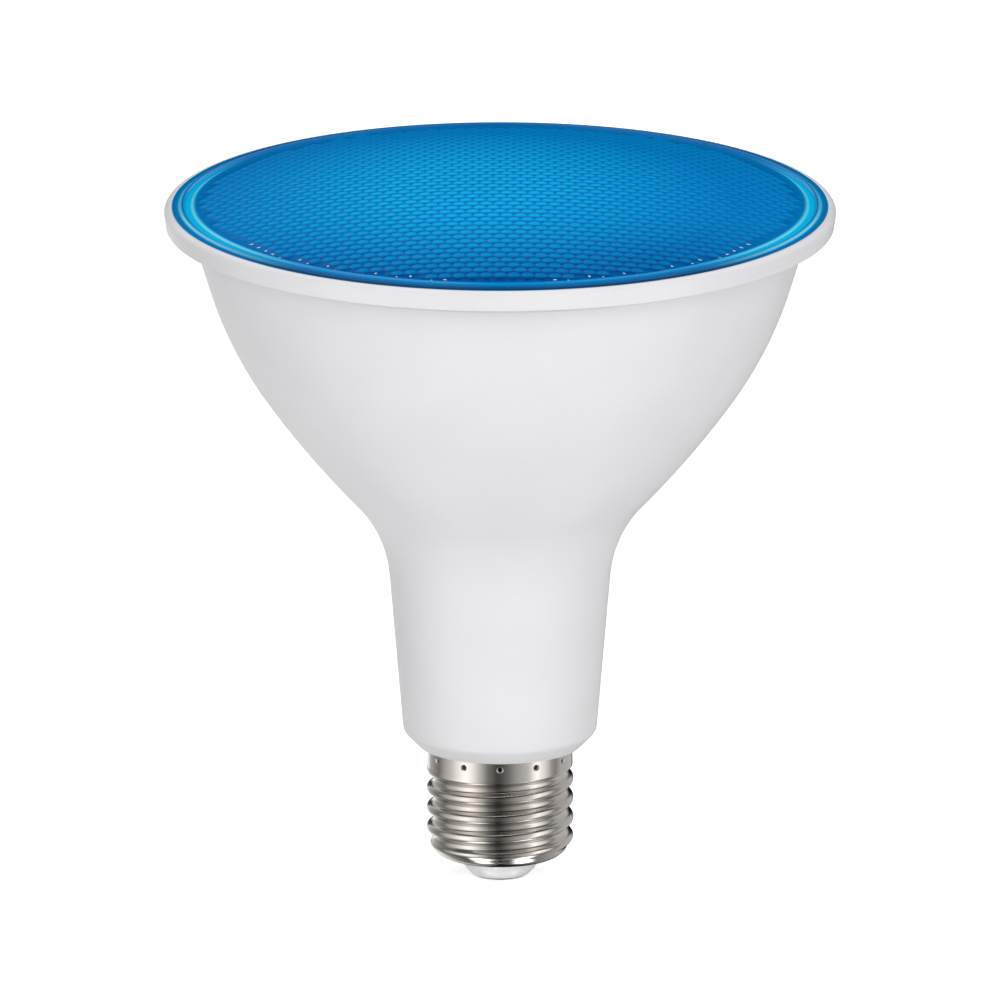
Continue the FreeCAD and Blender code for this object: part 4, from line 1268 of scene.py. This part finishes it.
@dataclass
class Studio:
    """Floor, lamps, light tent, world and camera.

    Attributes:
        distance: from the camera to the bulb's middle.
        elevation: how far the camera looks down, in degrees.
        target: height that the camera looks at.
        view_width: width of the picture at the bulb.
        sensor: width of the camera's sensor.
        floor_size: length of the floor's edges.
        floor_drop: how far the floor lies under the contact.
        floor_glow: what the floor adds to its own light towards the camera.
        surround: strength of the world's light.
        tent_radius: radius of the light tent.
        tent_glow: its brightness by azimuth from the camera's side, positive to the right.
        tent_lift: the share of it by elevation, at the front.
        back_lift: the same at the sides.
        rear_lift: the same behind the bulb.
        side_turns: azimuths between which the front's shares give way to the sides'.
        rear_turns: azimuths between which the sides' shares give way to the rear's.
        tent_spots: azimuth, elevation, strength and width of each soft spot.
    """

    distance: float = 20000.0
    elevation: float = 15.0
    target: float = 69.4
    view_width: float = 179.57
    sensor: float = 36.0
    floor_size: float = 6000.0
    floor_drop: float = 0.1
    floor_glow: float = 0.6
    surround: float = 0.25
    tent_radius: float = 3500.0
    tent_glow: tuple[tuple[float, float], ...] = (
        (-180, 0.03), (-174, 0.05), (-168, 1.1), (-156, 1.1), (-146, 0.6), (-125, 0.35), (-112, 0.24),
        (-102, 0.5), (-84, 0.85), (-68, 1.45), (-56, 1.8), (-46, 1.5), (-33, 0.83), (-20, 0.3), (-7, 0.1),
        (0, 0.1), (12, 0.22), (25, 0.48), (38, 0.68), (46, 0.8), (54, 1.4), (62, 1.75), (74, 1.25), (82, 0.9),
        (90, 0.5), (100, 0.34), (112, 0.62), (150, 0.65), (158, 0.5), (168, 0.05), (180, 0.03))
    tent_lift: tuple[tuple[float, float], ...] = (
        (-90, 0.3), (-60, 0.4), (-45, 0.6), (-30, 1.0), (26, 1.0), (40, 0.18), (60, 0.18), (75, 0.7), (90, 0.8))
    back_lift: tuple[tuple[float, float], ...] = (
        (-90, 0.15), (-66, 0.3), (-30, 1.0), (12, 1.0), (24, 0.9), (90, 0.9))
    rear_lift: tuple[tuple[float, float], ...] = (
        (-90, 0.15), (-66, 0.3), (-30, 1.0), (-12, 1.0), (0, 0.06), (20, 0.06), (34, 0.5), (60, 0.7), (90, 0.8))
    side_turns: tuple[float, float] = (95.0, 120.0)
    rear_turns: tuple[float, float] = (148.0, 162.0)
    tent_spots: tuple[tuple[float, float, float, float], ...] = ((-100, -75, 4.0, 9.0), (108, -70, 4.0, 8.5))

    def camera(self) -> None:
        """The camera, level across and looking down at the photograph's angle."""
        data = bpy.data.cameras.new("camera")
        data.sensor_width = self.sensor
        data.lens = self.sensor * self.distance / self.view_width
        data.clip_end = 100.0
        tilt = math.radians(self.elevation)
        place = (0.0, -self.distance * math.cos(tilt), self.target + self.distance * math.sin(tilt))
        bpy.context.scene.camera = stand("camera", data, place, tilt, 0.0)

    def lamp(
            self, name: str, azimuth: float, elevation: float, distance: float, size: tuple[float, float],
            power: float, aim: float = 69.4, spread: float = 180.0) -> None:
        """A soft box that looks at the bulb; reflections show the tent instead of it.

        Args:
            name: its name.
            azimuth: degrees from the camera's side, positive to the right.
            elevation: degrees above the floor.
            distance: distance from the bulb in mm.
            size: width and height in mm.
            power: radiant power in watts.
            aim: height in mm of the spot on the axis that it looks at.
            spread: width of its beam in degrees.
        """
        data = bpy.data.lights.new(name, "AREA")
        data.shape = "RECTANGLE"
        data.size, data.size_y = size[0] * MM, size[1] * MM
        data.energy = power
        data.spread = math.radians(spread)
        turn, lift = math.radians(azimuth), math.radians(elevation)
        away, height = distance * math.cos(lift), self.target + distance * math.sin(lift)
        place = (away * math.sin(turn), -away * math.cos(turn), height)
        stand(name, data, place, math.atan2(height - aim, away), turn).visible_glossy = False

    def floor(self) -> None:
        """A matt white floor that runs out of the picture."""
        half, foot = self.floor_size / 2, -self.floor_drop
        corners = ((-half, -half), (half, -half), (half, half), (-half, half))
        points = np.array([[*corner, foot] for corner in corners])
        piece = make_mesh("floor", points, [(0, 1, 2, 3)], 30)
        tree = paint_with(piece, "matt_white_floor")
        shader = tree.nodes["Principled BSDF"]
        shader.inputs["Base Color"].default_value = linear("#F6F6F6")
        shader.inputs["Roughness"].default_value = 0.9
        shader.inputs["Specular IOR Level"].default_value = 0.0
        path = add_node(tree, "LightPath")
        seen = add_node(
            tree, "Math", {0: path.outputs["Is Camera Ray"], 1: self.floor_glow}, operation="MULTIPLY")
        glow = add_node(tree, "Emission", {"Color": linear("#FFFFFF"), "Strength": seen.outputs["Value"]})
        both = add_node(tree, "AddShader", {0: shader.outputs["BSDF"], 1: glow.outputs["Emission"]})
        tree.links.new(both.outputs["Shader"], tree.nodes["Material Output"].inputs["Surface"])
        piece.visible_glossy = False

    def tent(self) -> None:
        """A light tent round the bulb that only shows in reflections.

        Its brightness follows the azimuth and fades below the floor and, behind the bulb, above it. Each
        soft spot adds its strength times exp(-(distance / width)^4).
        """
        azimuth, height = np.meshgrid(np.linspace(-180.0, 180.0, 145)[:-1], np.linspace(-90.0, 90.0, 73))
        lift = np.interp(height, *zip(*self.tent_lift))
        for table, turns in ((self.back_lift, self.side_turns), (self.rear_lift, self.rear_turns)):
            share = smoothstep(np.abs(azimuth), *turns)
            lift = lift * (1 - share) + np.interp(height, *zip(*table)) * share
        glow = np.interp(azimuth, *zip(*self.tent_glow)) * lift
        for place, level, strength, width in self.tent_spots:
            away = np.hypot((azimuth - place) * np.cos(np.radians(level)), height - level)
            glow = glow + strength * np.exp(-(away / width) ** 4)
        turn, climb = np.radians(azimuth), np.radians(height)
        points = self.tent_radius * np.stack(
            (np.sin(turn) * np.cos(climb), -np.cos(turn) * np.cos(climb), np.sin(climb)), axis=-1)
        points[..., 2] += self.target
        faces = wrapped_quads(*azimuth.shape, closed=False)
        piece = make_mesh("light_tent", points.reshape(-1, 3), faces.tolist(), 30, {"glow": glow.ravel()})
        tree = paint_with(piece, "light_tent")
        light = add_node(tree, "Emission", {"Strength": attribute(tree, "glow")})
        tree.links.new(light.outputs["Emission"], tree.nodes["Material Output"].inputs["Surface"])
        for kind in ("camera", "diffuse", "shadow", "transmission"):
            setattr(piece, "visible_" + kind, False)

    def world(self) -> None:
        """A pale, even surround."""
        world = bpy.data.worlds.new("studio")
        world.use_nodes = True
        ground = world.node_tree.nodes["Background"]
        ground.inputs["Color"].default_value = linear("#FFFFFF")
        ground.inputs["Strength"].default_value = self.surround
        bpy.context.scene.world = world

    def build(self) -> None:
        """Sets up the whole studio, with its lamps' places in degrees and mm and their power in watts."""
        self.camera()
        self.world()
        self.floor()
        self.lamp("left_box", -31, 22, 1300, (900, 1100), 4.6)
        self.lamp("right_box", 33, 22, 1300, (900, 1100), 5.9)
        self.lamp("low_fill", 0, 3, 1500, (900, 500), 2.5)
        self.lamp("foot_spot", 0, -2, 900, (200, 60), 0.0125, aim=-30.0, spread=12.0)
        self.lamp("top_box", 180, 68, 1300, (1300, 1300), 11.5)
        self.tent()
        bpy.context.scene.view_settings.view_transform = "Standard"


def main() -> None:
    """Builds every sub-assembly in order, then the studio."""
    logging.basicConfig(level=logging.INFO, format="%(message)s")
    ScrewCap().build()
    Housing().build()
    FrontRing().build()
    PillowLens().build()
    Inside().build()
    Studio().build()


if __name__ == "__main__":
    main()
